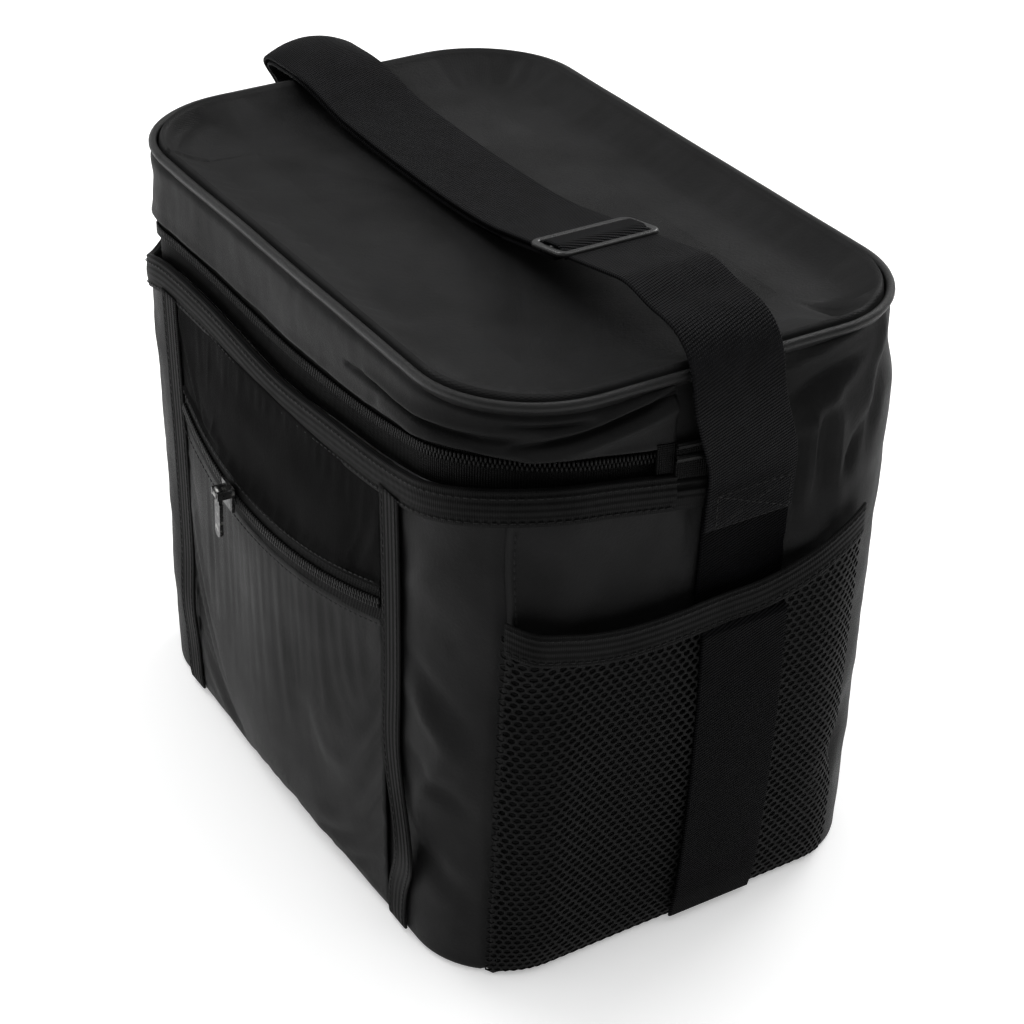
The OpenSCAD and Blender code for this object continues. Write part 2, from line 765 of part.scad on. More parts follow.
pocket_pull();
strap_webbing();
strap_return();
strap_adjuster();
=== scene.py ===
import json
import math

import bmesh
import bpy
import numpy as np
from mathutils import Matrix, Vector, noise


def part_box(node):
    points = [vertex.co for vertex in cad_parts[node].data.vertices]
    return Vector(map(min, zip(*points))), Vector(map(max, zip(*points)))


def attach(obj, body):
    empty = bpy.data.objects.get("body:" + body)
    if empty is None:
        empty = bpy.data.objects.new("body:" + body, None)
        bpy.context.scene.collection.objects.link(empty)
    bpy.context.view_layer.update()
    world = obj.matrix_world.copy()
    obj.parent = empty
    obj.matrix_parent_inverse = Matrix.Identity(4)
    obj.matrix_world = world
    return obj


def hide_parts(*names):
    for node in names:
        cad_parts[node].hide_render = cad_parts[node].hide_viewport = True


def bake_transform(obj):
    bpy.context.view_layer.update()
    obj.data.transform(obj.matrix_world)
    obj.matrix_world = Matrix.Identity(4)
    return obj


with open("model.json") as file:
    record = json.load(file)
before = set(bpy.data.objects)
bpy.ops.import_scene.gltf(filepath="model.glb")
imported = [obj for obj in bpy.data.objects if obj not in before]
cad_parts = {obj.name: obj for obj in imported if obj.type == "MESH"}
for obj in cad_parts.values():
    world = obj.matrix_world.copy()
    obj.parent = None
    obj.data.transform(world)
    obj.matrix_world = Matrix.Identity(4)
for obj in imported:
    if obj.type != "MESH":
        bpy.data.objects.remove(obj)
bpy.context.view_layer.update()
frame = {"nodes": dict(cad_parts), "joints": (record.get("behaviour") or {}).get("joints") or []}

# The soft surfaces of an insulated cooler bag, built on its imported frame. Lengths are in millimetres, and
# a mesh is scaled to metres when it is made. The bag's front faces -y. Position s is a length round the rim,
# anticlockwise seen from above: it is 0 at the left end of the straight front and grows past the right side
# to the back.

MM = 0.001


# ---- Measures from the frame ----
def span(node):
    """A CAD node's lowest and highest corners."""
    low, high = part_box(node)
    return np.array(low) / MM, np.array(high) / MM


def joint_point(name):
    """Where a joint's axis passes."""
    joint = next(j for j in frame["joints"] if j["name"] == name)
    return np.array(joint["pos_m"]) / MM


def mix(a, b, t):
    return a + (b - a) * t


def ease(t):
    t = np.clip(t, 0, 1)
    return t * t * (3 - 2 * t)


BASE_W, BASE_D = (span("base_panel")[1] - span("base_panel")[0])[:2]
BASE_R = 33
RIM_W = 2 * span("side_panel_right")[1][0]
RIM_D = 2 * span("back_panel")[1][1]
RIM_H = span("front_panel")[1][2]
RIM_R = 41
LID_W = 2 * span("lid_rear_piping")[1][0]
LID_D = 2 * span("lid_rear_piping")[1][1]
LID_R = 43
LID_TOP = span("lid_rear_panel")[0][2] + 1.2
PIPING_R = (span("lid_rear_piping")[1][2] - span("lid_rear_piping")[0][2]) / 2
PIPING_H = span("lid_rear_piping")[1][2] - PIPING_R
SKIRT_H = span("lid_skirt")[0][2]
FOLD_Y = joint_point("lid_fold")[1]
ZIP_H = (span("zip_coil_lower")[1][2] + span("zip_coil_upper")[0][2]) / 2
MESH_TOP = span("mesh_pocket_right")[1][2]
TAPE_W = RIM_H - span("top_binding")[0][2]
STRIP_X = span("tape_strip_right")[0][0] + TAPE_W / 2
STRIP_TOP = span("tape_strip_right")[1][2]
WEB_Y = (span("side_webbing_right")[0][1] + span("side_webbing_right")[1][1]) / 2
WEB_RIGHT_Y = WEB_Y - 4.6
WEB_W = span("side_webbing_right")[1][1] - span("side_webbing_right")[0][1]
WEB_TOP = span("side_webbing_right")[1][2]
SEAM_U = 1.589                  # the front right seam, as a place on the outline

# The outline is four straights and four corners: u is 0 to 1 along the front, 1 to 2 round the front right
# corner, and so on to 8
STRAIGHTS = (RIM_W - 2 * RIM_R, RIM_D - 2 * RIM_R)
ARC = RIM_R * math.pi / 2
S_MARKS = np.concatenate([[0], np.cumsum([STRAIGHTS[0], ARC, STRAIGHTS[1], ARC] * 2)])
LOOP = S_MARKS[-1]


def u_of(s):
    s = np.asarray(s, float)
    return np.interp(s % LOOP, S_MARKS, range(9)) + 8 * (s // LOOP)


def s_of(u):
    u = np.asarray(u, float)
    return np.interp(u % 8, range(9), S_MARKS) + LOOP * (u // 8)


def on_front(x):
    """Position s of a point of the straight front."""
    return x + STRAIGHTS[0] / 2


def on_right(y):
    """Position s of a point of the straight right side."""
    return S_MARKS[2] + STRAIGHTS[1] / 2 + y


def mirrored(s):
    """The same place on the other half of the bag."""
    return STRAIGHTS[0] + LOOP - s


SEAM_S = float(s_of(SEAM_U))
CORNER_SIGNS = np.array([[1, -1], [1, 1], [-1, 1], [-1, -1]])


def outline(s, half_w, half_d, r, off=0.0):
    """A point on a rounded rectangle, off further out, and its outward normal."""
    u = u_of(s) % 8
    quarter = (u // 2).astype(int)
    run = u - 2 * quarter
    along = np.clip(run, 0, 1)[..., None]
    half_w, half_d, r, off = np.broadcast_arrays(half_w, half_d, r, off + 0 * u)[:4]
    centre = np.stack([half_w - r, half_d - r], -1)
    middle = centre * mix(CORNER_SIGNS[quarter - 1], CORNER_SIGNS[quarter], along)
    angle = (quarter - 1 + np.clip(run - 1, 0, 1)) * np.pi / 2
    normal = np.stack([np.cos(angle), np.sin(angle)], -1)
    return middle + normal * (r + off)[..., None], normal


def wall(s, z, off=0.0):
    """A point on the wall's outer surface, off further out. Above the rim it draws in to the lid's edge."""
    s, z = np.broadcast_arrays(np.asarray(s, float), np.asarray(z, float))
    share = np.clip(z / RIM_H, 0, 1)
    rise = ease((z - RIM_H - 6) / 18)
    z = lift(s, z)
    half_w = mix(mix(BASE_W, RIM_W, share), LID_W - 1.6, rise) / 2
    half_d = mix(mix(BASE_D, RIM_D, share), LID_D - 1.6, rise) / 2
    r = mix(mix(BASE_R, RIM_R, share), LID_R - 0.8, rise)
    flat, _ = outline(s, half_w, half_d, r, off)
    return np.concatenate([flat, z[..., None]], -1)


# The rim and the skirt's hem aren't level: they sag at the front left corner and ride up round the
# front right one
LEFT_CORNER = -ARC / 2
RIGHT_CORNER = STRAIGHTS[0] + 0.7 * ARC
RIM_SAG, RIM_RISE, FRONT_SAG = 11, 12, 4.5
HEM_SAG, HEM_RISE = 4, 9.5


def swell(s, centre, reach):
    """A smooth rise to 1 at a position, gone by about twice its reach."""
    return np.exp(-(((s - centre) / reach) ** 2))


def lift(s, z):
    """A height moved with the rim and the hem."""
    place = (np.asarray(s, float) + LOOP / 2) % LOOP - LOOP / 2
    sides = ease((place - LEFT_CORNER + ARC) / ARC) * (1 - ease((place - on_right(-15)) / 40))
    rim = RIM_RISE * swell(place, RIGHT_CORNER, 50) - FRONT_SAG * swell(place, on_front(0), 40)
    rim = (rim - RIM_SAG * swell(place, LEFT_CORNER, 22)) * sides
    hem = (HEM_RISE * swell(place, RIGHT_CORNER - 15, 50) - HEM_SAG * swell(place, LEFT_CORNER, 18)) * sides
    rim = rim * np.interp(z, [RIM_H - 48, RIM_H - 16, RIM_H + 1, SKIRT_H], [0, 1, 1, 0])
    return z + rim + hem * np.interp(z, [RIM_H + 1, SKIRT_H, SKIRT_H + 22], [0, 1, 0])


def wall_normal(s):
    _, normal = outline(s, RIM_W / 2, RIM_D / 2, RIM_R)
    return np.concatenate([normal, np.zeros(normal.shape[:-1] + (1,))], -1)


def lid_line(s, inset, z):
    """A point at a height on the lid's outline, inset from its edge."""
    flat, _ = outline(s, LID_W / 2 - inset, LID_D / 2 - inset, LID_R - inset)
    z = np.broadcast_to(z, flat.shape[:-1])
    return np.concatenate([flat, z[..., None]], -1)


# ---- Relief ----
def folds(a, b, lines):
    """Soft folds over a surface with coordinates a and b. Each line is (a0, b0, a1, b1, width, height)."""
    total = np.zeros(np.broadcast(a, b).shape)
    for a0, b0, a1, b1, width, height in lines:
        length2 = (a1 - a0) ** 2 + (b1 - b0) ** 2
        t = np.clip(((a - a0) * (a1 - a0) + (b - b0) * (b1 - b0)) / length2, 0, 1)
        away = np.hypot(a - mix(a0, a1, t), b - mix(b0, b1, t))
        total += height * np.exp(-((away / width) ** 2)) * (0.35 + 0.65 * np.sin(np.pi * t))
    return total


def rumple(a, b, size, seed, stretch=1.0):
    """Smooth noise from about -1 to 1 with features of a size, stretched along b."""
    flat = np.stack(np.broadcast_arrays(a / size, b / (size * stretch)), -1).reshape(-1, 2)
    values = [noise.fractal(Vector((p[0], p[1], seed)), 0.8, 2.1, 3) for p in flat.tolist()]
    return np.array(values).reshape(np.broadcast(a, b).shape)


# ---- Mesh makers ----
def make(name, points, faces, material, body, uvs=None):
    """A mesh object from points in millimetres that rides on a body. uvs are in millimetres of cloth."""
    data = bpy.data.meshes.new(name)
    data.from_pydata((np.asarray(points, float) * MM).tolist(), [], faces)
    if uvs is not None:
        corners = np.empty(len(data.loops), np.int32)
        data.loops.foreach_get("vertex_index", corners)
        layer = data.uv_layers.new(name="cloth")
        layer.data.foreach_set("uv", np.asarray(uvs, np.float32)[corners].ravel())
    data.polygons.foreach_set("use_smooth", [True] * len(data.polygons))
    data.materials.append(material)
    obj = bpy.data.objects.new(name, data)
    bpy.context.scene.collection.objects.link(obj)
    if body:
        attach(obj, body)
    return obj


def stands_for(obj, slot, *nodes):
    """The piece replaces CAD nodes, which are hidden. The slot argument is not used."""
    if nodes:
        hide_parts(*nodes)
    return obj


def lengths(line):
    return np.concatenate([[0], np.cumsum(np.linalg.norm(np.diff(line, axis=0), axis=1))])


def sheet(name, grid, material, body, thick, keep=None, wrap=False):
    """A cloth from a grid of points, thickened behind its outer face. keep drops faces where it is false."""
    nu, nv = grid.shape[:2]
    last = nu if wrap else nu - 1
    faces = [
        (i * nv + j, (i + 1) % nu * nv + j, (i + 1) % nu * nv + j + 1, i * nv + j + 1)
        for i in range(last)
        for j in range(nv - 1)
        if keep is None or keep[i, j]
    ]
    along, up = lengths(grid[:, nv // 2]), lengths(grid[nu // 2])
    uvs = np.stack(np.meshgrid(along, up, indexing="ij"), -1).reshape(-1, 2)
    obj = make(name, grid.reshape(-1, 3), faces, material, body, uvs)
    if keep is not None or wrap:
        tidy(obj)
    if thick:
        layer = obj.modifiers.new("thickness", "SOLIDIFY")
        layer.thickness = thick * MM
        layer.offset = -1
    return obj


def tidy(obj):
    """Removes points that no face uses."""
    work = bmesh.new()
    work.from_mesh(obj.data)
    loose = [v for v in work.verts if not v.link_faces]
    bmesh.ops.delete(work, geom=loose, context="VERTS")
    work.to_mesh(obj.data)
    work.free()


def sweep(name, path, side, up, profile, material, body, closed=False):
    """A solid swept along a path. Each profile point (a, b) sits a along side and b along up."""
    path, side, up = (np.asarray(x, float) for x in (path, side, up))
    profile = np.asarray(profile, float)
    if profile.ndim == 2:
        profile = np.broadcast_to(profile, (len(path),) + profile.shape)
    grid = path[:, None] + profile[..., :1] * side[:, None] + profile[..., 1:] * up[:, None]
    n, m = grid.shape[:2]
    last = n if closed else n - 1
    faces = [
        (i * m + j, (i + 1) % n * m + j, (i + 1) % n * m + (j + 1) % m, i * m + (j + 1) % m)
        for i in range(last)
        for j in range(m)
    ]
    if not closed:
        faces += [tuple(reversed(range(m))), tuple((n - 1) * m + j for j in range(m))]
    around = lengths(np.concatenate([profile[0], profile[0][:1]]))[:m]
    uvs = np.stack(np.meshgrid(lengths(path), around, indexing="ij"), -1).reshape(-1, 2)
    obj = make(name, grid.reshape(-1, 3), faces, material, body, uvs)
    outward(obj)
    return obj


def outward(obj):
    """Turns the faces of a closed mesh outwards."""
    work = bmesh.new()
    work.from_mesh(obj.data)
    bmesh.ops.recalc_face_normals(work, faces=work.faces)
    work.to_mesh(obj.data)
    work.free()


def flat_profile(width, thick, columns=2, low=0.0):
    """A tape's section: width along a, from low to low + thick along b, with round edges."""
    r = thick / 2
    half = width / 2 - r
    arc = [math.radians(a) for a in (-60, -20, 20, 60)]
    right = [(half + r * math.cos(a), low + r + r * math.sin(a)) for a in arc]
    top = [(mix(half, -half, k / columns), low + thick) for k in range(columns + 1)]
    left = [(-half - r * math.cos(a), low + r - r * math.sin(a)) for a in arc]
    under = [(mix(-half, half, k / columns), low) for k in range(columns + 1)]
    return np.array(right + top + left + under)


def round_profile(r, sides=12):
    turn = [2 * math.pi * k / sides for k in range(sides)]
    return np.array([(r * math.cos(a), r * math.sin(a)) for a in turn])


def scatter(name, shape, centres, axes, material, body):
    """One mesh of many copies of a small shape. axes holds three unit vectors for each copy."""
    points, faces = shape
    placed = centres[:, None] + np.einsum("pk,nkc->npc", points, axes)
    count = len(points)
    every = [tuple(i * count + v for v in face) for i in range(len(centres)) for face in faces]
    uvs = np.tile(points[:, :2], (len(centres), 1))
    return make(name, placed.reshape(-1, 3), every, material, body, uvs)


def rod_shape(length, wide, tall, waist=0.7):
    """A small rod with rounded ends, along its first axis."""
    ring = [(math.cos(a), math.sin(a)) for a in np.arange(6) * math.pi / 3]
    ends = [(-waist * length / 2, 1.0), (waist * length / 2, 1.0)]
    points = [(x, wide / 2 * k * c, tall / 2 * k * s) for x, k in ends for c, s in ring]
    points += [(-length / 2, 0, 0), (length / 2, 0, 0)]
    faces = [(i, (i + 1) % 6, 6 + (i + 1) % 6, 6 + i) for i in range(6)]
    faces += [(12, (i + 1) % 6, i) for i in range(6)]
    faces += [(13, 6 + i, 6 + (i + 1) % 6) for i in range(6)]
    return np.array(points), faces


def resample(path, pitch):
    """Evenly spaced points on a path, and the share of the path where each lies."""
    run = lengths(path)
    at = np.arange(pitch / 2, run[-1], pitch)
    points = np.stack([np.interp(at, run, path[:, k]) for k in range(3)], -1)
    ahead = np.stack([np.interp(np.minimum(at + 0.2, run[-1]), run, path[:, k]) for k in range(3)], -1)
    way = ahead - points
    return points, way / np.maximum(np.linalg.norm(way, axis=1, keepdims=True), 1e-9)


STITCH_PITCH = 2.9
STITCH_LENGTH = 2.3
STITCH_WIDE = 0.5


def stitches(name, lines, body):
    """Rows of stitches. Each line is a path and the outward normal along it."""
    shape = rod_shape(STITCH_LENGTH, STITCH_WIDE, STITCH_WIDE * 0.8)
    centres, axes = [], []
    for path, normal in lines:
        points, way = resample(np.asarray(path, float), STITCH_PITCH)
        out = np.broadcast_to(normal, np.shape(path))
        out = np.stack([np.interp(np.linspace(0, 1, len(points)), np.linspace(0, 1, len(path)), out[:, k])
                        for k in range(3)], -1)
        out /= np.linalg.norm(out, axis=1, keepdims=True)
        across = np.cross(out, way)
        across /= np.linalg.norm(across, axis=1, keepdims=True)
        centres.append(points)
        axes.append(np.stack([way, across, np.cross(way, across)], 1))
    obj = scatter(name, shape, np.concatenate(centres), np.concatenate(axes), THREAD, body)
    return stands_for(obj, "woven_tape")


# ---- Materials ----
def new_material(name, **sockets):
    mat = bpy.data.materials.new(name)
    mat.use_nodes = True
    shader = mat.node_tree.nodes["Principled BSDF"]
    for socket, value in sockets.items():
        shader.inputs[socket.replace("_", " ")].default_value = value
    return mat, mat.node_tree, shader


def node(tree, kind, inputs, **settings):
    made = tree.nodes.new(kind)
    for key, value in settings.items():
        setattr(made, key, value)
    for key, value in inputs.items():
        if isinstance(value, bpy.types.NodeSocket):
            tree.links.new(value, made.inputs[key])
        else:
            made.inputs[key].default_value = value
    return made


def math_node(tree, operation, a, b=0.0):
    return node(tree, "ShaderNodeMath", {0: a, 1: b}, operation=operation).outputs[0]


def cloth_axes(tree):
    """The two lengths along the cloth, in millimetres."""
    place = node(tree, "ShaderNodeUVMap", {}, uv_map="cloth")
    parts = node(tree, "ShaderNodeSeparateXYZ", {0: place.outputs[0]})
    return parts.outputs[0], parts.outputs[1]


def wave(tree, length, pitch):
    return math_node(tree, "SINE", math_node(tree, "MULTIPLY", length, 2 * math.pi / pitch))


def noise_at(tree, scale, detail=3.0):
    """Noise through space, with features of 1/scale metres."""
    place = node(tree, "ShaderNodeTexCoord", {})
    return node(tree, "ShaderNodeTexNoise",
                {"Vector": place.outputs["Object"], "Scale": scale, "Detail": detail}).outputs[0]


def ramp(tree, value, low, high, at=(0.3, 0.7)):
    """A colour or number that goes from low to high."""
    made = node(tree, "ShaderNodeValToRGB", {0: value})
    for stop, colour, place in zip(made.color_ramp.elements, (low, high), at):
        stop.color = (*colour, 1) if hasattr(colour, "__len__") else (colour, colour, colour, 1)
        stop.position = place
    return made.outputs[0]


def bump(tree, shader, height, distance, strength=1.0):
    made = node(tree, "ShaderNodeBump", {"Height": height, "Distance": distance, "Strength": strength})
    tree.links.new(made.outputs[0], shader.inputs["Normal"])


def plain_weave(name, dark, light, rough, gloss=0.09, pitch=0.55, depth=0.00012):
    """Coated polyester: a fine plain weave, uneven in colour and gloss."""
    mat, tree, shader = new_material(name, Specular_IOR_Level=gloss)
    along, up = cloth_axes(tree)
    weave = math_node(tree, "MULTIPLY", wave(tree, along, pitch), wave(tree, up, pitch))
    blotch = noise_at(tree, 55)
    height = math_node(tree, "MULTIPLY_ADD", weave, 0.35)
    tree.links.new(math_node(tree, "MULTIPLY", noise_at(tree, 900, 2), 1.2), height.node.inputs[2])
    bump(tree, shader, height, depth)
    tree.links.new(ramp(tree, blotch, dark, light), shader.inputs["Base Color"])
    tree.links.new(ramp(tree, noise_at(tree, 24), rough - 0.08, rough + 0.1), shader.inputs["Roughness"])
    return mat


def ribbed(name, dark, light, pitch, slant, depth, rough=0.6, gloss=0.06, lengthwise=False):
    """Woven tape or webbing: ribs across its length, leaning by slant."""
    mat, tree, shader = new_material(name, Specular_IOR_Level=gloss)
    along, up = cloth_axes(tree)
    if lengthwise:
        along, up = up, along
    if slant:
        along = math_node(tree, "ADD", along, math_node(tree, "MULTIPLY", up, slant))
    ribs = wave(tree, along, pitch)
    threads = math_node(tree, "MULTIPLY", wave(tree, up, 0.8), 0.35)
    height = math_node(tree, "ADD", ribs, threads)
    bump(tree, shader, height, depth)
    # The colour follows the ribs, crests lighter and hollows darker: painted shade, over random tone from
    # noise.
    shade = math_node(tree, "MULTIPLY_ADD", ribs, 0.12)
    tree.links.new(noise_at(tree, 130), shade.node.inputs[2])
    tree.links.new(ramp(tree, shade, dark, light), shader.inputs["Base Color"])
    shader.inputs["Roughness"].default_value = rough
    return mat


def grained(name, dark, light, rough, scale, depth, **sockets):
    """A surface with fine grain: yarn, moulded plastic, enamel, foam or board."""
    mat, tree, shader = new_material(name, **sockets)
    bump(tree, shader, noise_at(tree, scale, 4), depth)
    tree.links.new(ramp(tree, noise_at(tree, scale / 8), dark, light), shader.inputs["Base Color"])
    uneven = ramp(tree, noise_at(tree, scale / 4), rough - 0.06, rough + 0.08)
    tree.links.new(uneven, shader.inputs["Roughness"])
    return mat


def worn_enamel(name, dark, light, bright, rough):
    """Black enamel over metal, scuffed bright in places."""
    mat, tree, shader = new_material(name, Metallic=0.55)
    scuffs = ramp(tree, noise_at(tree, 330, 5), 0.0, 1.0, (0.56, 0.66))
    body = ramp(tree, noise_at(tree, 400), dark, light)
    colour = node(tree, "ShaderNodeMix", {0: scuffs, 6: body, 7: (*bright, 1)}, data_type="RGBA")
    tree.links.new(colour.outputs[2], shader.inputs["Base Color"])
    tree.links.new(ramp(tree, noise_at(tree, 700), rough - 0.08, rough + 0.1), shader.inputs["Roughness"])
    bump(tree, shader, noise_at(tree, 1500), 0.00003)
    return mat


FABRIC = plain_weave("outer_fabric", (0.0055,) * 3, (0.0088, 0.0088, 0.009), 0.52)
# A darker copy of the outer fabric for the pocket's upper panel: painted shade.
PAINTED_SHADE_FABRIC = plain_weave("outer_fabric_painted_shade", (0.0012,) * 3, (0.0024,) * 3, 0.6, gloss=0.02)
LID_FABRIC = plain_weave("lid_fabric", (0.0075,) * 3, (0.0115, 0.0115, 0.0118), 0.55)
PIPING = plain_weave("piping_fabric", (0.006,) * 3, (0.01,) * 3, 0.36, gloss=0.2)
BINDING = ribbed("binding", (0.002,) * 3, (0.0046,) * 3, 2.4, 0, 0.00016, lengthwise=True)
ZIP_TAPE = ribbed("zip_tape", (0.0014,) * 3, (0.0036,) * 3, 0.9, 0, 0.0002)
WEBBING = ribbed("webbing", (0.0026, 0.0026, 0.003), (0.0052, 0.0052, 0.006), 1.15, 0.35, 0.00022)
# A darker copy of the strap's webbing for the webbing down the sides: painted shade.
PAINTED_SHADE_SIDE_WEBBING = ribbed(
    "side_webbing", (0.0008, 0.0008, 0.001), (0.0018, 0.0018, 0.0023), 1.15, 0.35, 0.0002, gloss=0.03
)
MESH = grained("mesh", (0.0014,) * 3, (0.003,) * 3, 0.6, 2500, 0.00012, Specular_IOR_Level=0.08)
NYLON = grained("nylon", (0.002,) * 3, (0.0036,) * 3, 0.42, 1500, 0.00003, Specular_IOR_Level=0.12)
PLASTIC = grained("plastic", (0.009,) * 3, (0.015,) * 3, 0.3, 1800, 0.00004, Specular_IOR_Level=0.45)
THREAD = grained("thread", (0.002,) * 3, (0.006,) * 3, 0.5, 3000, 0.00008, Specular_IOR_Level=0.12)
METAL = worn_enamel("metal", (0.012,) * 3, (0.025,) * 3, (0.2, 0.2, 0.19), 0.3)
FOAM = grained("foam", (0.6, 0.6, 0.58), (0.78, 0.78, 0.75), 0.85, 900, 0.0003)
BOARD = grained("board", (0.2,) * 3, (0.32,) * 3, 0.8, 600, 0.0001)


def foil_material():
    """Satin foil film, finely crinkled."""
    mat, tree, shader = new_material("foil", Metallic=0.85, Roughness=0.36)
    crinkle = node(tree, "ShaderNodeTexVoronoi",
                   {"Vector": node(tree, "ShaderNodeTexCoord", {}).outputs["Object"], "Scale": 110.0},
                   feature="SMOOTH_F1").outputs[0]
    bump(tree, shader, math_node(tree, "ADD", crinkle, noise_at(tree, 60)), 0.0016, 0.5)
    tree.links.new(ramp(tree, noise_at(tree, 30), (0.55, 0.56, 0.58), (0.7, 0.71, 0.73)),
                   shader.inputs["Base Color"])
    return mat


FOIL = foil_material()


# ---- Cloth that settles ----
def settle(obj, held, growth, pull, frames=24):
    """Lets a cloth that is cut a little too large settle between the points where it is held."""
    points = np.empty(len(obj.data.vertices) * 3, np.float32)
    obj.data.vertices.foreach_get("co", points)
    before = points.reshape(-1, 3).copy()
    pins = obj.vertex_groups.new(name="held")
    pins.add([int(i) for i in np.nonzero(held(before / MM))[0]], 1.0, "REPLACE")
    cloth = obj.modifiers.new("cloth", "CLOTH")
    cloth.settings.quality = 6
    cloth.settings.mass = 0.15
    cloth.settings.tension_stiffness = cloth.settings.compression_stiffness = 20
    cloth.settings.bending_stiffness = 0.35
    cloth.settings.shrink_min = -growth
    cloth.settings.vertex_group_mass = "held"
    cloth.settings.effector_weights.gravity = pull
    cloth.point_cache.frame_start, cloth.point_cache.frame_end = 1, frames
    scene = bpy.context.scene
    for frame_number in range(1, frames + 1):
        scene.frame_set(frame_number)
    shaped = obj.evaluated_get(bpy.context.evaluated_depsgraph_get())
    after = np.empty_like(points)
    shaped.to_mesh().vertices.foreach_get("co", after)
    shaped.to_mesh_clear()
    obj.modifiers.remove(cloth)
    obj.vertex_groups.remove(pins)
    scene.frame_set(1)
    return before / MM, after.reshape(-1, 3) / MM


def reshape(obj, points):
    obj.data.vertices.foreach_set("co", (np.asarray(points, float) * MM).ravel())
    obj.data.update()


# ---- Walls ----
WALL_FOLDS = [
    # Behind the strap on the right side, where the strap's pull creases the cloth
    (on_right(26), 219, on_right(60), 226, 2.4, 1.8),
    (on_right(27), 207, on_right(58), 216, 2.6, -2.6),
    (on_right(33), 196, on_right(56), 212, 3.0, 2.2),
    (on_right(31), 192, on_right(30.5), 168, 1.9, -2.6),
    (on_right(36), 204, on_right(35), 164, 2.4, 2.8),
    (on_right(41), 200, on_right(42), 172, 2.0, -2.2),
    (on_right(46), 206, on_right(49), 164, 2.6, 1.9),
    (on_right(50), 172, on_right(58), 190, 2.2, -2.2),
    (on_right(62), 180, on_right(68), 208, 3.4, -2.0),
    (on_right(60), 196, on_right(74), 222, 3.0, 1.6),
    # In front of it, one shallow dent and the cloth drawn in beside the strap
    (on_right(-10), 158, on_right(-9), 184, 2.4, -1.8),
    (on_right(-50), 150, on_right(-16), 176, 10.0, -1.3),
    (on_right(-72), 182, on_right(-34), 188, 4.0, 1.2),
    # Low on the sides, pressed in by what the bag stands against
    (on_right(56), 30, on_right(70), 64, 7.0, -2.4),
]


def wall_relief(s, z):
    """How far the outer cloth stands off its even outline."""
    relief = folds(s, z, WALL_FOLDS) + folds(mirrored(s) % LOOP, z, WALL_FOLDS)
    relief += 0.9 * rumple(s, z, 30, 3.1, 1.4) * ease(z / 30)
    for place in (s, mirrored(s) % LOOP):
        relief += bulge(place, z, on_right(36), 155, 11, 9, 4.2)
    return relief


def bulge(s, z, s0, z0, wide, tall, height):
    return height * np.exp(-(((s - s0) / wide) ** 2) - ((z - z0) / tall) ** 2)


def foot(z, r=3.0):
    """How far the wall draws in as it turns under the base."""
    low = np.clip(r - z, 0, r)
    return r - np.sqrt(r * r - low * low)


def seam_edge(s, seam, toward, high, wide):
    """A turned edge along a seam: the cloth stands high there, on the side that toward points to."""
    away = (s - seam) * toward
    return np.where(away > 0, high * np.exp(-((away / wide) ** 2)), 0)


def seam_wobble(z):
    return 0.8 * np.sin(z / 17) + 0.5 * np.sin(z / 7.3 + 1)


CORNER_FOLDS = [
    # Between the right strip and the side's seam
    (on_front(92), 124, on_front(122), 104, 4.5, -1.7),
    (on_front(94), 112, on_front(118), 92, 4.0, 1.3),
    (on_front(92), 82, on_front(124), 70, 4.0, -1.5),
    (on_front(94), 60, on_front(116), 96, 5.0, 1.5),
    (on_front(96), 46, on_front(126), 30, 5.0, -1.4),
    (on_front(92), 150, on_front(118), 164, 5.0, 1.1),
]


WALL_TOP = 226


def make_walls():
    fold_s = on_right(FOLD_Y + 0.15)
    s = np.linspace(SEAM_S, float(mirrored(SEAM_S)), 240)
    s = np.sort(np.concatenate([s, [fold_s, mirrored(fold_s)]]))
    below, above = np.linspace(5.5, RIM_H, 74), np.linspace(RIM_H + 2.4, WALL_TOP, 17)
    z = np.concatenate([np.linspace(0.2, 3, 4), below, above])
    ss, zz = np.meshgrid(s, z, indexing="ij")
    near_seam = 1 - ease((ss - SEAM_S) / 20) + ease((ss - mirrored(SEAM_S) + 20) / 20)
    off = wall_relief(ss, zz) - foot(zz, 1.8)
    off += seam_edge(ss, SEAM_S, 1, 1.7, 3.4) + seam_edge(ss, mirrored(SEAM_S), -1, 1.7, 3.4)
    off -= 1.2 * (zz - RIM_H > 0) * ease((zz - 218) / 8)
    grid = wall(ss + near_seam * seam_wobble(zz), zz, off)
    middle_s, middle_z = (s[:-1] + s[1:]) / 2, (z[:-1] + z[1:]) / 2
    behind = (middle_s > fold_s) & (middle_s < mirrored(fold_s))
    keep = behind[:, None] | (middle_z < RIM_H)[None]
    wrap = sheet("side_and_back_cloth", grid, FABRIC, "bag", 1.1, keep=keep)
    stands_for(wrap, "outer_fabric", "side_panel_left", "side_panel_right", "back_panel", "rear_yoke")

    s = np.linspace(float(mirrored(SEAM_S)) - LOOP - 1.5, SEAM_S + 1.5, 112)
    z = np.concatenate([np.linspace(0.2, 3, 4), np.linspace(5.5, RIM_H, 74)])
    ss, zz = np.meshgrid(s, z, indexing="ij")
    near = 1 - ease((s[-1] - ss) / 20)
    off = 0.8 * rumple(ss, zz, 26, 8.4, 1.3) * ease(zz / 30) - foot(zz)
    off -= seam_edge(ss, s[-1], -1, 2.4, 2.4) + seam_edge(ss, s[0], 1, 2.4, 2.4)
    off += 1.3 * folds(ss, zz, CORNER_FOLDS)
    front = sheet("front_cloth", wall(ss + near * seam_wobble(zz), zz, off), FABRIC, "bag", 1.1)
    stands_for(front, "outer_fabric", "front_panel")
    z = np.linspace(6, RIM_H - TAPE_W - 1, 70)
    rows = []
    for seam, side in ((SEAM_S, 1), (float(mirrored(SEAM_S)), -1)):
        line = wall(seam + side * 3.2 + seam_wobble(z), z, 1.3)
        rows.append((line, wall_normal(np.full(len(z), seam))))
    stitches("side_seam_stitches", rows, "bag")


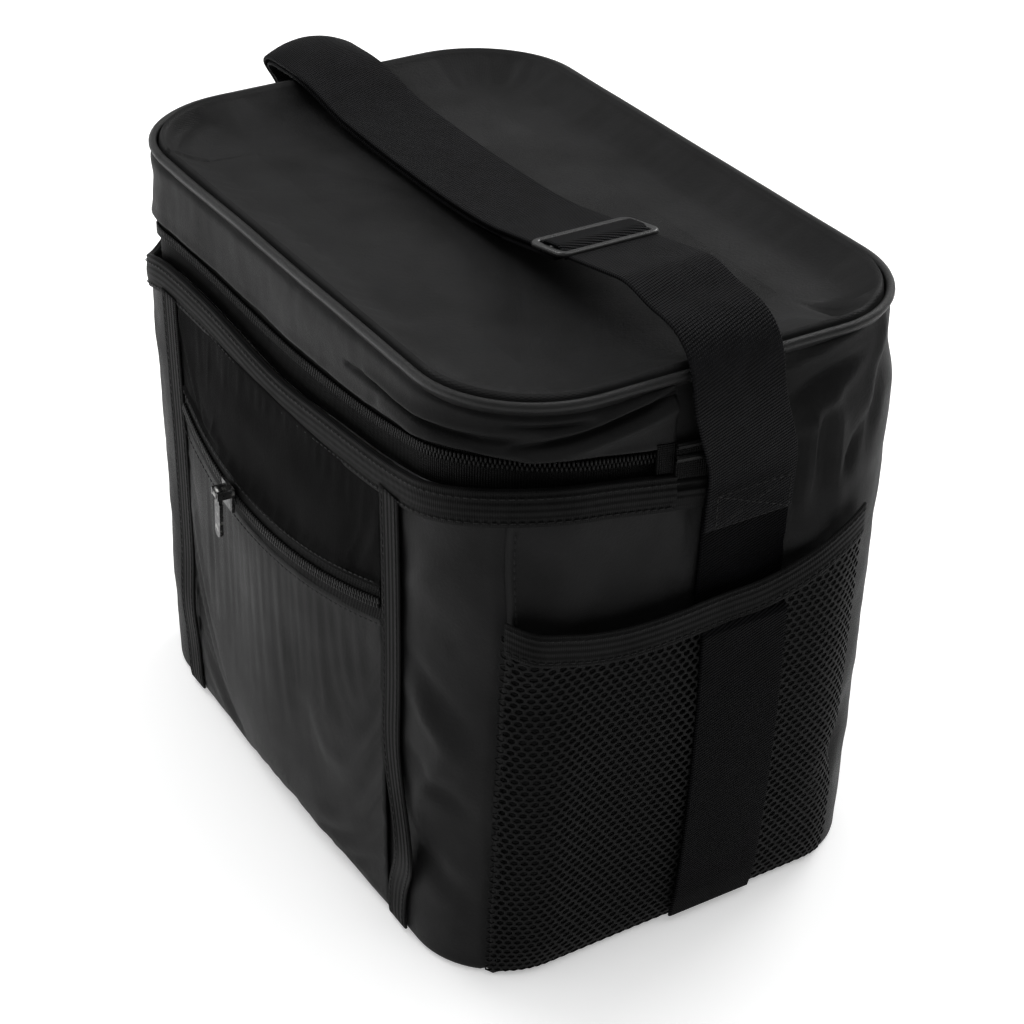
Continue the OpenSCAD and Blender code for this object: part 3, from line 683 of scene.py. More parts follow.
def make_base():
    """The base cloth, slightly domed under its stiffener, with a seam where the walls join it."""
    s = np.linspace(0, LOOP, 160, endpoint=False)
    rows = []
    for inset in (2.6, 4.0, 6.0, 10.0, 20.0, 30.0):
        flat, _ = outline(s, BASE_W / 2 - inset, BASE_D / 2 - inset, BASE_R - inset)
        z = 0.15 + 0.5 * math.exp(-((inset - 5) / 1.2) ** 2)
        rows.append(np.concatenate([flat, np.full((len(s), 1), z)], -1))
    inner = rows[-1]
    for share in np.linspace(0.9, 0.02, 12):
        rows.append(inner * [share, share, 1])
    grid = np.stack(rows, 1)[:, ::-1]
    base = sheet("base_cloth", grid[::-1], FABRIC, "bag", 0.0, wrap=True)
    layer = base.modifiers.new("thickness", "SOLIDIFY")
    layer.thickness = 1.0 * MM
    layer.offset = -1
    stands_for(base, "outer_fabric", "base_panel")


def make_foam():
    """The foam between the cloth and the lining, one sleeve that follows the cloth's dents."""
    s = np.linspace(0, LOOP, 240, endpoint=False)
    z = np.concatenate([[8.8], np.linspace(14, RIM_H - 6, 44)])
    ss, zz = np.meshgrid(s, z, indexing="ij")
    dents = np.minimum(wall_relief(ss, zz), 0) * (ss > SEAM_S) * (ss < mirrored(SEAM_S))
    dents += np.minimum(1.3 * folds(ss, zz, CORNER_FOLDS), 0)
    grid = wall(ss, zz, -2.1 + dents)
    foam = sheet("foam_sleeve", grid, FOAM, "bag", 4.3, wrap=True)
    stands_for(foam, "foam", "foam_front", "foam_back", "foam_left", "foam_right")


# ---- Lid ----
LID_FOLDS = [
    # (position round the edge, distance in from it): puckers by the corners
    (S_MARKS[7] + 6, 9.5, S_MARKS[7] + 56, 10.5, 1.9, -2.2),
    (S_MARKS[7] + 10, 14, S_MARKS[7] + 60, 15, 3.0, 1.3),
    (S_MARKS[6] + 20, 9, S_MARKS[7] - 10, 10, 2.0, -1.8),
    (on_right(62) + 2, 6, on_right(62) + 6, 26, 2.4, -2.0),
    (on_right(62) + 12, 6, on_right(62) + 12, 24, 2.4, 1.6),
    (on_right(62) + 22, 6, on_right(62) + 17, 22, 2.2, -1.6),
    (on_right(50), 8, on_right(62) + 4, 9, 1.8, -1.4),
    (on_front(60), 8.6, on_front(104), 9.4, 1.8, -1.5),
    (on_front(84), 13, on_front(118), 14, 2.4, 0.9),
    (on_right(-60), 8.6, on_right(-22), 9.4, 1.8, -1.0),
    (S_MARKS[6] + 30, 5, S_MARKS[6] + 32, 18, 2.0, -1.6),
]
CORD_R = 1.6                    # the cord inside the piping's fold
CORD_H = PIPING_H - 0.6
CREVICE = 2 * CORD_R + 0.2
LIP = CREVICE + 1.7             # the panel's turned-up edge, just inside the crevice by the piping


def lid_height(s, inset, x, y):
    edge = 7.3 * np.exp(-np.clip(inset - LIP, 0, None) / 4.6) - 7.6 * ease((LIP - inset) / (LIP - CREVICE))
    loose = ease(inset / 14)
    return (LID_TOP + edge - 0.7 * loose + 0.45 * rumple(x, y, 46, 5.5) * loose
            + folds(s, inset, LID_FOLDS))


def near_lid_edge(points):
    """Whether points lie within the sewn edge of the lid's panel."""
    x = np.abs(points[:, 0]) - (LID_W / 2 - LID_R)
    y = np.abs(points[:, 1]) - (LID_D / 2 - LID_R)
    corner = LID_R - np.hypot(np.maximum(x, 0), np.maximum(y, 0))
    return corner < LIP + 1.5


def make_lid():
    s = np.linspace(0, LOOP, 230, endpoint=False)
    insets = [CREVICE - 1, CREVICE, CREVICE + 0.7, CREVICE + 1.3, LIP, LIP + 0.8]
    insets += [7.4, 9, 10.8, 13, 16, 19.5, 23, 27, 31, 35, 39]
    rows = []
    for inset in insets:
        line = lid_line(s, inset, 0)
        line[:, 2] = lid_height(s, inset, line[:, 0], line[:, 1])
        rows.append(line)
    edge = lid_line(s, insets[-1], 0)
    for share in np.linspace(0.9, 0.01, 14):
        line = edge * [share, share, 1]
        line[:, 2] = lid_height(s, insets[-1] + 30 * (1 - share), line[:, 0], line[:, 1])
        rows.append(line)
    rows[0][:, 2] -= 1.0
    cover = sheet("lid_cover", np.stack(rows, 1)[::-1], LID_FABRIC, None, 0, wrap=True)
    settled = settle(cover, near_lid_edge, 0.006, 0.5)
    if settled:
        before, after = settled
        shift = np.clip(after - before, -2.5, 2.5)
        shift[:, 2] = np.clip(shift[:, 2], -0.6, 2.0)
        reshape(cover, before + shift)
    layer = cover.modifiers.new("thickness", "SOLIDIFY")
    layer.thickness = 0.8 * MM
    layer.offset = -1
    fold_over(cover)
    stands_for(cover, "lid_fabric", "lid_rear_panel", "lid_front_panel")

    path = lid_line(s, CORD_R, CORD_H)
    path[:, 2] += 0.35 * np.array([noise.noise(Vector((a / 45, 0, 9))) for a in s])
    out = wall_normal(s)
    up = np.tile([0, 0, 1.0], (len(s), 1))
    piping = sweep("lid_piping", path, out, up, piping_profile(), PIPING, None, closed=True)
    fold_over(piping)
    stands_for(piping, "lid_fabric", "lid_rear_piping", "lid_front_piping")


def piping_profile():
    """A cord with its two seam edges hanging from it, as it is sewn in."""
    turn = [math.radians(a) for a in range(-60, 241, 25)]
    cord = [(CORD_R * math.cos(a), CORD_R * math.sin(a)) for a in turn]
    return np.array(cord + [(-1.4, -PIPING_R - 1.2), (-0.2, -PIPING_R - 1.2)])


def fold_over(obj):
    """Bakes the piece's transform into its mesh."""
    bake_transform(obj)


FLAP_END = on_right(FOLD_Y)
FLAP_S = (float(mirrored(FLAP_END)) - LOOP, FLAP_END)


def flap_range(count, clear=0.15):
    return np.linspace(FLAP_S[0] + clear, FLAP_S[1] - clear, count)


CORNER_S = float(S_MARKS[1] + ARC * 0.62)      # where the skirt buckles, on the front right corner


def skirt_hem(s):
    """Height of the skirt's lower edge, which droops at its buckled corner."""
    return SKIRT_H - 2.0 * swell(s, CORNER_S, 9) + 0.4 * np.sin(s / 31)


SKIRT_FOLDS = [
    # The buckle at the front right corner: a crease from the front and one from the side meet in a V
    (CORNER_S - 84, 211.0, CORNER_S - 2, 216.0, 1.15, -3.4),
    (CORNER_S - 70, 214.0, CORNER_S - 4, 219.0, 1.6, 1.7),
    (CORNER_S - 60, 208.0, CORNER_S - 1, 212.0, 1.8, 1.6),
    (CORNER_S - 3, 213.5, CORNER_S + 68, 224.0, 1.15, -4.0),
    (CORNER_S + 2, 210.0, CORNER_S + 62, 218.5, 2.6, 2.4),
    (CORNER_S + 6, 217.5, CORNER_S + 60, 226.5, 1.4, 1.5),
    (CORNER_S - 5, 221.0, CORNER_S + 22, 220.5, 1.0, -1.9),
    (CORNER_S - 130, 214, CORNER_S - 84, 218, 6, 1.0),
    (-30, 212, 20, 219, 6, -1.0),
]


def make_skirt():
    s = flap_range(280)
    rows = np.linspace(0, 1, 34)
    ss, rr = np.meshgrid(s, rows, indexing="ij")
    hem = skirt_hem(ss)
    zz = mix(hem, PIPING_H - PIPING_R - 0.4, rr)
    out = 2.3 + 0.5 * rumple(ss, zz, 22, 2.2, 2.0)
    out -= 1.8 * np.exp(-((1 - rr) / 0.09) ** 2)
    out += 0.6 * np.exp(-((rr) / 0.1) ** 2)
    zz = lift(ss, zz)
    out = np.maximum(out + folds(ss, zz, SKIRT_FOLDS), -0.3)
    points = lid_line(ss, 2.6 - out, zz)
    skirt = sheet("lid_skirt_cloth", points, FABRIC, "lid_flap", 0.9)
    stands_for(skirt, "outer_fabric", "lid_skirt")


# ---- Zips ----
ZIP_IN = 1.55
TOOTH_PITCH = 1.5


def tooth_shape(length, wide, tall):
    return rod_shape(length, wide, tall, 0.72)


def zip_teeth(name, path, out, up, side, body, nodes):
    """One row of coil turns that lean into the other row. side is 1 for the upper row, -1 for the lower."""
    points, way = resample(path, TOOTH_PITCH)
    share = np.linspace(0, 1, len(points))
    old = np.linspace(0, 1, len(path))
    out = np.stack([np.interp(share, old, np.broadcast_to(out, path.shape)[:, k]) for k in range(3)], -1)
    up = np.stack([np.interp(share, old, np.broadcast_to(up, path.shape)[:, k]) for k in range(3)], -1)
    shift = way * (0.25 + side * 0.25) * TOOTH_PITCH
    centres = points + shift + up * side * 0.85 + out * 0.1
    axes = np.stack([up * side, way, out], 1)
    obj = scatter(name, tooth_shape(2.6, 0.95, 1.3), centres, axes, NYLON, body)
    return stands_for(obj, "nylon_coil", *nodes)


def make_lid_zip():
    s = flap_range(200)
    normal = wall_normal(s)
    up = np.tile([0, 0, 1.0], (len(s), 1))
    middle = lid_line(s, ZIP_IN, lift(s, ZIP_H + 0 * s))
    zip_teeth("lid_zip_teeth_lower", middle, normal, up, -1, "bag", ["zip_coil_lower"])
    zip_teeth("lid_zip_teeth_upper", middle, normal, up, 1, "lid_flap", ["zip_coil_upper"])
    for name, low, high, body, cad in (
        ("lid_zip_tape_lower", RIM_H - 2.5, ZIP_H - 0.6, "bag", "zip_tape_lower"),
        ("lid_zip_tape_upper", ZIP_H + 0.6, SKIRT_H + 2.5, "lid_flap", "zip_tape_upper"),
    ):
        low, high = lift(s, low + 0 * s), lift(s, high + 0 * s)
        path = lid_line(s, 2.9, (low + high) / 2)
        even = flat_profile(1, 0.7, 6)
        profile = np.stack([even * [wide, 1] for wide in high - low])
        tape = sweep(name, path, up, normal, profile, ZIP_TAPE, body)
        stands_for(tape, "woven_tape", cad)
    make_zip_tail()
    for side in (1, -1):
        ends = on_right(np.linspace(FOLD_Y - 8, FOLD_Y + 7, 8))
        if side < 0:
            ends = mirrored(ends)
        path = lid_line(ends, -0.2, lift(ends, ZIP_H + 0 * ends))
        tab = sweep("zip_end_tab_" + ("right" if side > 0 else "left"), path, up[:8], wall_normal(ends),
                    flat_profile(11, 1.0, 4, -0.6), ZIP_TAPE, "bag")
        stands_for(tab, "woven_tape", *(["zip_end_tabs"] if side > 0 else []))


TAIL_Y = 9                      # where the zip's closed end is sewn off, under the strap


def make_zip_tail():
    """Behind the fold the zip runs on as a closed, sewn-down end between the hem and the binding."""
    for side in (1, -1):
        name = "right" if side > 0 else "left"
        s = on_right(np.linspace(FOLD_Y + 0.3, TAIL_Y, 30))
        if side < 0:
            s = mirrored(s)
        up = np.tile([0, 0, 1.0], (len(s), 1))
        for part, low, high, off, thick, look in (
            ("tape", RIM_H - 1, SKIRT_H + 1, 0.9, 0.8, ZIP_TAPE),
            ("hem", SKIRT_H - 1.0, SKIRT_H + 1.6, 1.3, 1.4, FABRIC),
            ("coil", ZIP_H - 1.7, ZIP_H + 1.7, 1.2, 1.3, NYLON),
            ("binding", RIM_H - TAPE_W, RIM_H + 0.4, 0.9, 1.4, BINDING),
        ):
            bottom, top = (wall(s, low + 0 * s, 0), wall(s, high + 0 * s, 0))
            path = (bottom + top) / 2 + wall_normal(s) * off
            even = flat_profile(1, thick, 4, -thick / 2)
            profile = np.stack([even * [wide, 1] for wide in top[:, 2] - bottom[:, 2]])
            piece = sweep("zip_tail_" + part + "_" + name, path, up, wall_normal(s), profile, look, "bag")
            stands_for(piece, "nylon_coil" if part == "coil" else "woven_tape")


def make_top_binding():
    """The woven binding folded over the rim, with two rows of stitches."""
    s = flap_range(210, -1.5)
    normal = wall_normal(s)
    up = np.tile([0, 0, 1.0], (len(s), 1))
    wave_z = 0.5 * np.sin(s / 37)
    path = wall(s, RIM_H - TAPE_W / 2, 0)
    path[:, 2] += wave_z
    half = TAPE_W / 2
    outer = [(a, 1.5 + 0.25 * math.cos(a * math.pi / half)) for a in np.linspace(-half, half - 0.8, 9)]
    over = [(half + 0.4, 1.4), (half + 0.9, 0.5), (half + 0.7, -0.8), (half, -1.6)]
    inner = [(half - 3, -1.7), (half - 3, 0.1), (-half, 0.1)]
    band = sweep("rim_binding", path, up, normal, outer + over + inner, BINDING, "bag")
    stands_for(band, "woven_tape", "top_binding")
    rows = []
    for z in (RIM_H - 1.6, RIM_H - TAPE_W + 1.6):
        line = wall(s, z, 1.72)
        line[:, 2] += wave_z
        rows.append((line, normal))
    stitches("rim_binding_stitches", rows, "bag")


# ---- Front strips and pocket ----
EDGE_OFF = 0.6
POCKET_HALF = span("pocket_lower_panel")[1][0]
POCKET_BULGE = 7.0
POCKET_SAG = 9.0
POCKET_Z = span("pocket_coil_lower")[0][2] + 2.4
POCKET_DEPTH = -span("pocket_coil_lower")[0][1] - 0.7


def strip_waver(z):
    """The right-hand strip is pushed aside near the base."""
    return 14 * swell(z, 42, 17) - 1.5 * swell(z, 84, 16) + 0.5 * np.sin(z / 19)


def make_strips():
    z = np.linspace(2.2, STRIP_TOP + 3, 110)
    rows = []
    for side in (1, -1):
        waver = strip_waver(z) if side > 0 else 0.7 * np.sin(z / 23) - 2 * swell(z, 40, 14)
        stand = 0.3 + 0.6 * ease(z / 9) + (3.2 if side > 0 else 1.8) * swell(z, 42, 15)
        path = wall(on_front(side * STRIP_X + side * waver * 0.8), z, stand - foot(z))
        across = np.tile([1.0, 0, 0], (len(z), 1))
        out = np.tile([0, -1.0, 0], (len(z), 1))
        name = "front_strip_" + ("right" if side > 0 else "left")
        strip = sweep(name, path, across, out, flat_profile(TAPE_W, 1.2, 6), BINDING, "bag")
        stands_for(strip, "woven_tape", "tape_strip_" + ("right" if side > 0 else "left"))
        for edge in (-1, 1):
            rows.append((path + across * edge * (TAPE_W / 2 - 1.7) + out * 1.25, out))
    stitches("front_strip_stitches", rows, "bag")


def pocket_zip_line(x):
    """The middle of the pocket's zip, which stands out and sags between the strips."""
    share = (x / POCKET_HALF) ** 2
    return np.stack([x, -POCKET_DEPTH + POCKET_BULGE * share, POCKET_Z + POCKET_SAG * share], -1)


def pocket_relief(x, z, side):
    """Slack in the pocket: long soft folds that fan from the zip's ends, and a puff below it."""
    if side > 0:
        creases = [(-60, 150, -20, 128, 7, 0.9), (10, 128, 60, 146, 8, 0.8), (-50, 168, 40, 164, 6, -0.7)]
        return folds(x, z, creases)
    return folds(x, z, [
        (-70, 96, -48, 30, 7, 1.3), (-60, 100, -30, 60, 5, -1.0), (-72, 70, -66, 14, 4, -1.2),
        (-10, 96, 40, 60, 8, 0.9), (20, 66, 74, 92, 5, -0.9), (30, 48, 72, 62, 5, 0.9),
        (30, 30, 70, 22, 9, 1.2), (-40, 18, 20, 12, 6, -0.7)])


def make_pocket():
    x = np.linspace(-POCKET_HALF, POCKET_HALF, 84)
    zip_line = pocket_zip_line(x)
    half = TAPE_W / 2
    for name, edge_z, side, cad in (
        ("pocket_lower_cloth", 0.6, -1, "pocket_lower_panel"),
        ("pocket_upper_cloth", STRIP_TOP + 2, 1, "pocket_upper_panel"),
    ):
        rows = 46 if side < 0 else 24
        v = np.linspace(0, 1, rows)
        xx, vv = np.meshgrid(x, v, indexing="ij")
        line = pocket_zip_line(xx)
        near = line[..., 2] + side * (half - 0.2)
        zz = mix(edge_z, near, vv)
        base = wall(on_front(xx), zz, EDGE_OFF - foot(zz))[..., 1]
        full = np.sin(np.pi / 2 * vv) ** 0.6
        y = mix(base, line[..., 1] + 0.6, full)
        y -= pocket_relief(xx, zz, side) * np.sin(np.pi * np.clip(vv, 0, 1)) ** 0.5
        y -= 0.35 * rumple(xx, zz, 26, 7.7, 1.5)
        y -= 1.0 * np.exp(-(((1 - vv) * abs(near - edge_z) - 1.2) / 1.1) ** 2)
        grid = np.stack([xx, y, zz], -1)
        if side > 0:
            grid = grid[:, ::-1]
        # The upper panel takes the darker copy of the fabric, which is painted shade.
        panel = sheet(name, grid, FABRIC if side < 0 else PAINTED_SHADE_FABRIC, None, 0)
        edges = np.zeros(grid.shape[:2], bool)
        edges[0] = edges[-1] = edges[:, 0] = edges[:, -1] = edges[:, -2] = edges[:, 1] = True
        settled = settle(panel, lambda points: edges.ravel(), 0.005, 0.4)
        if settled:
            before, after = settled
            shift = np.clip(after - before, -4, 4)
            shift[:, 1] = np.clip(shift[:, 1], -4, 1.2)
            reshape(panel, before + shift)
        layer = panel.modifiers.new("thickness", "SOLIDIFY")
        layer.thickness = 1.0 * MM
        layer.offset = -1
        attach(panel, "bag")
        stands_for(panel, "outer_fabric", cad)
    ahead = np.gradient(zip_line, axis=0)
    ahead /= np.linalg.norm(ahead, axis=1, keepdims=True)
    out = np.tile([0, -1.0, 0], (len(x), 1))
    up = np.cross(out, ahead) * -1
    up /= np.linalg.norm(up, axis=1, keepdims=True)
    up *= np.sign(up[:, 2:3])
    for name, side, cad in (("upper", 1, "pocket_tape_upper"), ("lower", -1, "pocket_tape_lower")):
        path = zip_line + up * side * 3.5 + [0, 1.1, 0]
        tape = sweep("pocket_zip_tape_" + name, path, up, out, flat_profile(6.6, 0.7, 4), ZIP_TAPE, "bag")
        stands_for(tape, "woven_tape", cad)
        zip_teeth("pocket_zip_teeth_" + name, zip_line, out, up, side, "bag", ["pocket_coil_" + name])
    rows = [(zip_line + up * side * (half + 1.6) + [0, -0.65, 0], out) for side in (1, -1)]
    stitches("pocket_zip_stitches", rows, "bag")


# ---- Mesh pockets ----
CELL_W = 3.5
CELL_H = 2.36
HOLE = 0.68
POCKET_END_S = float(s_of(3.2))
MOUTH_FRONT_RISE, MOUTH_BACK_RISE = 7.5, 14


def mouth(s):
    """Height of the pocket's top edge at a place on the right side: lowest just before the middle."""
    y = s - on_right(0)
    return MESH_TOP + MOUTH_FRONT_RISE * (1 - ease((y + 80) / 48)) + MOUTH_BACK_RISE * ease((y - 10) / 55)


def mesh_stand(s, z):
    """How far the mesh stands off the wall: full low down, drawn in by its sewn ends and its binding."""
    t = (s - SEAM_S) / (POCKET_END_S - SEAM_S)
    ends = np.sin(np.pi / 2 * np.clip(5.5 * np.minimum(t, 1 - t), 0, 1))
    h = np.clip(z / mouth(s), 0, 1)
    rounded = np.sin(np.pi / 2 * np.clip(h / 0.7, 0, 1)) ** 0.7
    full = np.where(h < 0.7, rounded, mix(1, 0.72, (h - 0.7) / 0.3))
    gape = 3.2 * np.exp(-(((s - SEAM_S - 9) / 8) ** 2)) * ease((z - 118) / 24)
    slack = 0.9 * np.sin(s / 9.5 + z / 40) * ends * full
    pressed = bulge(s, z, on_right(64), 50, 9, 10, 2.6)
    return 0.7 + 0.9 * ease(z / 14) + 5.2 * ends * full + gape + slack - pressed


def net(s0, s1, z0, top):
    """A knitted net: six-sided cells with an open hole in each, in places (s, z)."""
    rise, flank = CELL_H * 0.66, CELL_H * 0.34
    corners = [(0, rise), (-0.5, flank), (-0.5, -flank), (0, -rise), (0.5, -flank), (0.5, flank)]
    index, places, faces = {}, [], []

    def place(s, z):
        key = (round(s * 50), round(z * 50))
        if key not in index:
            index[key] = len(places)
            places.append((s, z))
        return index[key]

    for j in range(int((top(0) - z0) / CELL_H) + 9):
        z = z0 + j * CELL_H
        for i in range(int((s1 - s0) / CELL_W) + 1):
            s = s0 + (i + 0.5 * (j % 2)) * CELL_W
            if s > s1 or z > top(s):
                continue
            outer = [place(s + a * CELL_W, z + b) for a, b in corners]
            first = len(places)
            places.extend((s + a * CELL_W * HOLE, z + b * HOLE) for a, b in corners)
            index.update({("hole", first + k): first + k for k in range(6)})
            faces += [(outer[k], outer[(k + 1) % 6], first + (k + 1) % 6, first + k) for k in range(6)]
    return np.array(places), faces


def make_mesh_pocket(side):
    name = "right" if side > 0 else "left"
    places, faces = net(SEAM_S + 1, POCKET_END_S - 1, 3.3, lambda s: mouth(on_right(0)) + 12)
    s, z = places[:, 0], places[:, 1]
    z = np.minimum(z, mouth(s) - TAPE_W / 2)
    z = z + 1.1 * np.sin(s / 13) * ease(z / 40) * (1 - ease((z - 100) / 40))
    points = wall(s if side > 0 else mirrored(s), z, mesh_stand(s, z) - foot(z))
    pocket = make("mesh_net_" + name, points, faces, MESH, "bag", places)
    layer = pocket.modifiers.new("thickness", "SOLIDIFY")
    layer.thickness = 0.55 * MM
    layer.offset = 0
    stands_for(pocket, "mesh", "mesh_pocket_" + name)

    s = np.linspace(SEAM_S + 0.5, POCKET_END_S - 0.5, 90)
    middle = mouth(s) - TAPE_W / 2
    place = s if side > 0 else mirrored(s)
    path = wall(place, middle, mesh_stand(s, middle) + 0.3)
    normal = wall_normal(place)
    up = np.tile([0, 0, 1.0], (len(s), 1))
    profile = flat_profile(TAPE_W + 0.5, 1.3, 6, -0.4)
    band = sweep("mesh_binding_cloth_" + name, path, up, normal, profile, BINDING, "bag")
    stands_for(band, "woven_tape", "mesh_binding_" + name)
    rows = [(path + up * (edge * (TAPE_W / 2 - 1.8)) + normal * 0.95, normal) for edge in (-1, 1)]
    stitches("mesh_binding_stitches_" + name, rows, "bag")


# ---- Side webbing and strap ----
def web_path(side, z):
    """The webbing sewn down the side: flat on the wall, then over the net from under its binding."""
    s = np.full(len(z), on_right(WEB_RIGHT_Y if side > 0 else WEB_Y))
    over = 1 - ease((z - mouth(s) + TAPE_W + 2) / (TAPE_W / 2 + 2))
    off = mix(0.4, mesh_stand(s, z) + 1.1, over) - foot(z)
    place = s if side > 0 else mirrored(s)
    return wall(place, z, off), wall_normal(place)


def make_side_webbing():
    across = np.array([0, 1.0, 0])
    for side in (1, -1):
        name = "right" if side > 0 else "left"
        top = WEB_TOP if side > 0 else span("side_webbing_left")[1][2]
        z = np.linspace(3.0, top, 90)
        path, out = web_path(side, z)
        # The side webbing takes the darker copy of the webbing, which is painted shade.
        web = sweep("side_web_" + name, path, np.tile(across, (len(z), 1)), out,
                    flat_profile(WEB_W, 1.5, 10), PAINTED_SHADE_SIDE_WEBBING, "bag")
        stands_for(web, "webbing", "side_webbing_" + name)


SLOPE_TOP = (94, 243.6)
SLOPE_END = (24, 230.6)
RIGHT_SIDE = (139.6, 206)
LEFT_SIDE = (-156, 203.5)
CREST = (-144, 238)
REST_END = (-84, 228.5)
STRAP_CURVES = [
    [RIGHT_SIDE, (140.5, 232), (134, 240.5), (116, 241.2)],
    [(116, 241.2), (108, 241.5), (102, 245.1), SLOPE_TOP],
    [SLOPE_TOP, (70.67, 239.27), (47.33, 234.93), SLOPE_END],
    [SLOPE_END, (2, 226.5), (-50, 227), REST_END],
    [REST_END, (-106, 229.3), (-122, 238), CREST],
    [CREST, (-160, 238), (-168, 225), LEFT_SIDE],
]
LAYER_PITCH = 2.4
RING_X = (span("strap_ring")[0][0] + span("strap_ring")[1][0]) / 2
RING_TOP = span("strap_ring")[1][2] - 1.5


def bezier(points, t):
    a, b, c, d = (np.array(p, float) for p in points)
    t = np.asarray(t)[:, None]
    return (1 - t) ** 3 * a + 3 * (1 - t) ** 2 * t * b + 3 * (1 - t) * t * t * c + t ** 3 * d


def join(*pieces):
    """One line from several, without the shared points."""
    line = np.concatenate([pieces[0]] + [p[1:] for p in pieces[1:]])
    return line


def even_line(line, pitch):
    run = lengths(line)
    at = np.linspace(0, run[-1], int(run[-1] / pitch) + 1)
    return np.stack([np.interp(at, run, line[:, k]) for k in range(2)], -1)


def strap_middle(x, z):
    """The strap lies near the middle of the lid, and further back where it is sewn to the sides."""
    near = (span("strap_adjuster")[0][1] + span("strap_adjuster")[1][1]) / 2
    right = mix(near, WEB_RIGHT_Y, ease((222 - z) / 36) * (x > 100))
    return np.where(x > 0, right, mix(near, WEB_Y, ease((236 - z) / 34) * (x < -138)))


def strap_body(name, line, profile, flip=1):
    """A ribbon along a line in the XZ plane."""
    way = np.gradient(line, axis=0)
    way /= np.linalg.norm(way, axis=1, keepdims=True)
    out = np.stack([way[:, 1], np.zeros(len(line)), -way[:, 0]], -1) * flip
    path = np.stack([line[:, 0], strap_middle(line[:, 0], line[:, 1]), line[:, 1]], -1)
    across = np.tile([0, 1.0, 0], (len(line), 1))
    cup = 5.0 * swell(line[:, 0], -146, 25) * ease((line[:, 1] - 212) / 12)
    base = np.broadcast_to(profile, (len(line),) + profile.shape).copy()
    base[..., 1] -= cup[:, None] * (base[..., 0] / (WEB_W / 2)) ** 2
    ribbon = sweep(name, path, across, out, base, WEBBING, None)
    return ribbon, path, out


def swing_with(obj):
    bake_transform(obj)


def make_strap():
    steps = np.linspace(0, 1, 25)
    over = join(*[bezier(c, steps) for c in STRAP_CURVES])
    sewn, _ = web_path(1, np.array([WEB_TOP - 16, WEB_TOP - 1]))
    right = np.array([[sewn[0][0] + 2.2, sewn[0][2]], [sewn[1][0] + 2.4, sewn[1][2]], [139.2, 195]])
    reach = 2.7
    half_turn = np.linspace(0, math.pi, 9)
    turn = [(RING_X - reach * math.cos(a), RING_TOP - reach * math.sin(a)) for a in half_turn]
    left = np.array([(-147.6, 190), (RING_X - reach - 0.4, 181)] + turn)
    outer = even_line(join(np.vstack([right, over[:1]]), over), 2.2)
    outer = np.vstack([outer[:-1], even_line(np.vstack([over[-1:], left]), 1.6)])
    profile = flat_profile(WEB_W, 1.5, 12, -0.75)
    strap, path, out = strap_body("strap_band", outer, profile)
    swing_with(strap)
    stands_for(strap, "webbing", "strap_webbing", "strap_turn")
    rows = []
    keep = (path[:, 2] > RING_TOP + 4)
    for edge in (-1, 1):
        rows.append((path[keep] + np.array([0, edge * (WEB_W / 2 - 2.0), 0]) + out[keep] * 0.8, out[keep]))
    return rows


def make_strap_return():
    """The strap's second layer, from the ring back under the first one to the adjuster's middle bar."""
    steps = np.linspace(0, 1, 25)
    over = join(*[bezier(c, steps) for c in STRAP_CURVES[3:]])
    way = np.gradient(over, axis=0)
    way /= np.linalg.norm(way, axis=1, keepdims=True)
    inner = over - np.stack([way[:, 1], -way[:, 0]], -1) * LAYER_PITCH
    left = np.array([(-144.6, 190), (RING_X + 2.9, 181), (RING_X + 2.7, RING_TOP)])
    line = even_line(np.vstack([inner[:-1], inner[-1:], left]), 2.2)
    profile = flat_profile(WEB_W - 0.6, 1.5, 12, -0.75)
    strap, _, _ = strap_body("strap_under_layer", line, profile)
    swing_with(strap)
    stands_for(strap, "webbing")
    low, high = span("strap_adjuster")
    middle = (low[0] + high[0]) / 2
    slope = (SLOPE_TOP[1] - SLOPE_END[1]) / (SLOPE_TOP[0] - SLOPE_END[0])
    x = np.linspace(6, middle + 1.5, 24)
    rest = np.interp(x, inner[::-1, 0], inner[::-1, 1])
    climb = SLOPE_END[1] + (x - SLOPE_END[0]) * slope - LAYER_PITCH
    z = np.where(x > SLOPE_END[0], climb, rest)
    tail, _, _ = strap_body("strap_tail", np.stack([x, z], -1)[::-1], profile)
    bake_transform(tail)
    stands_for(tail, "webbing", "strap_return")


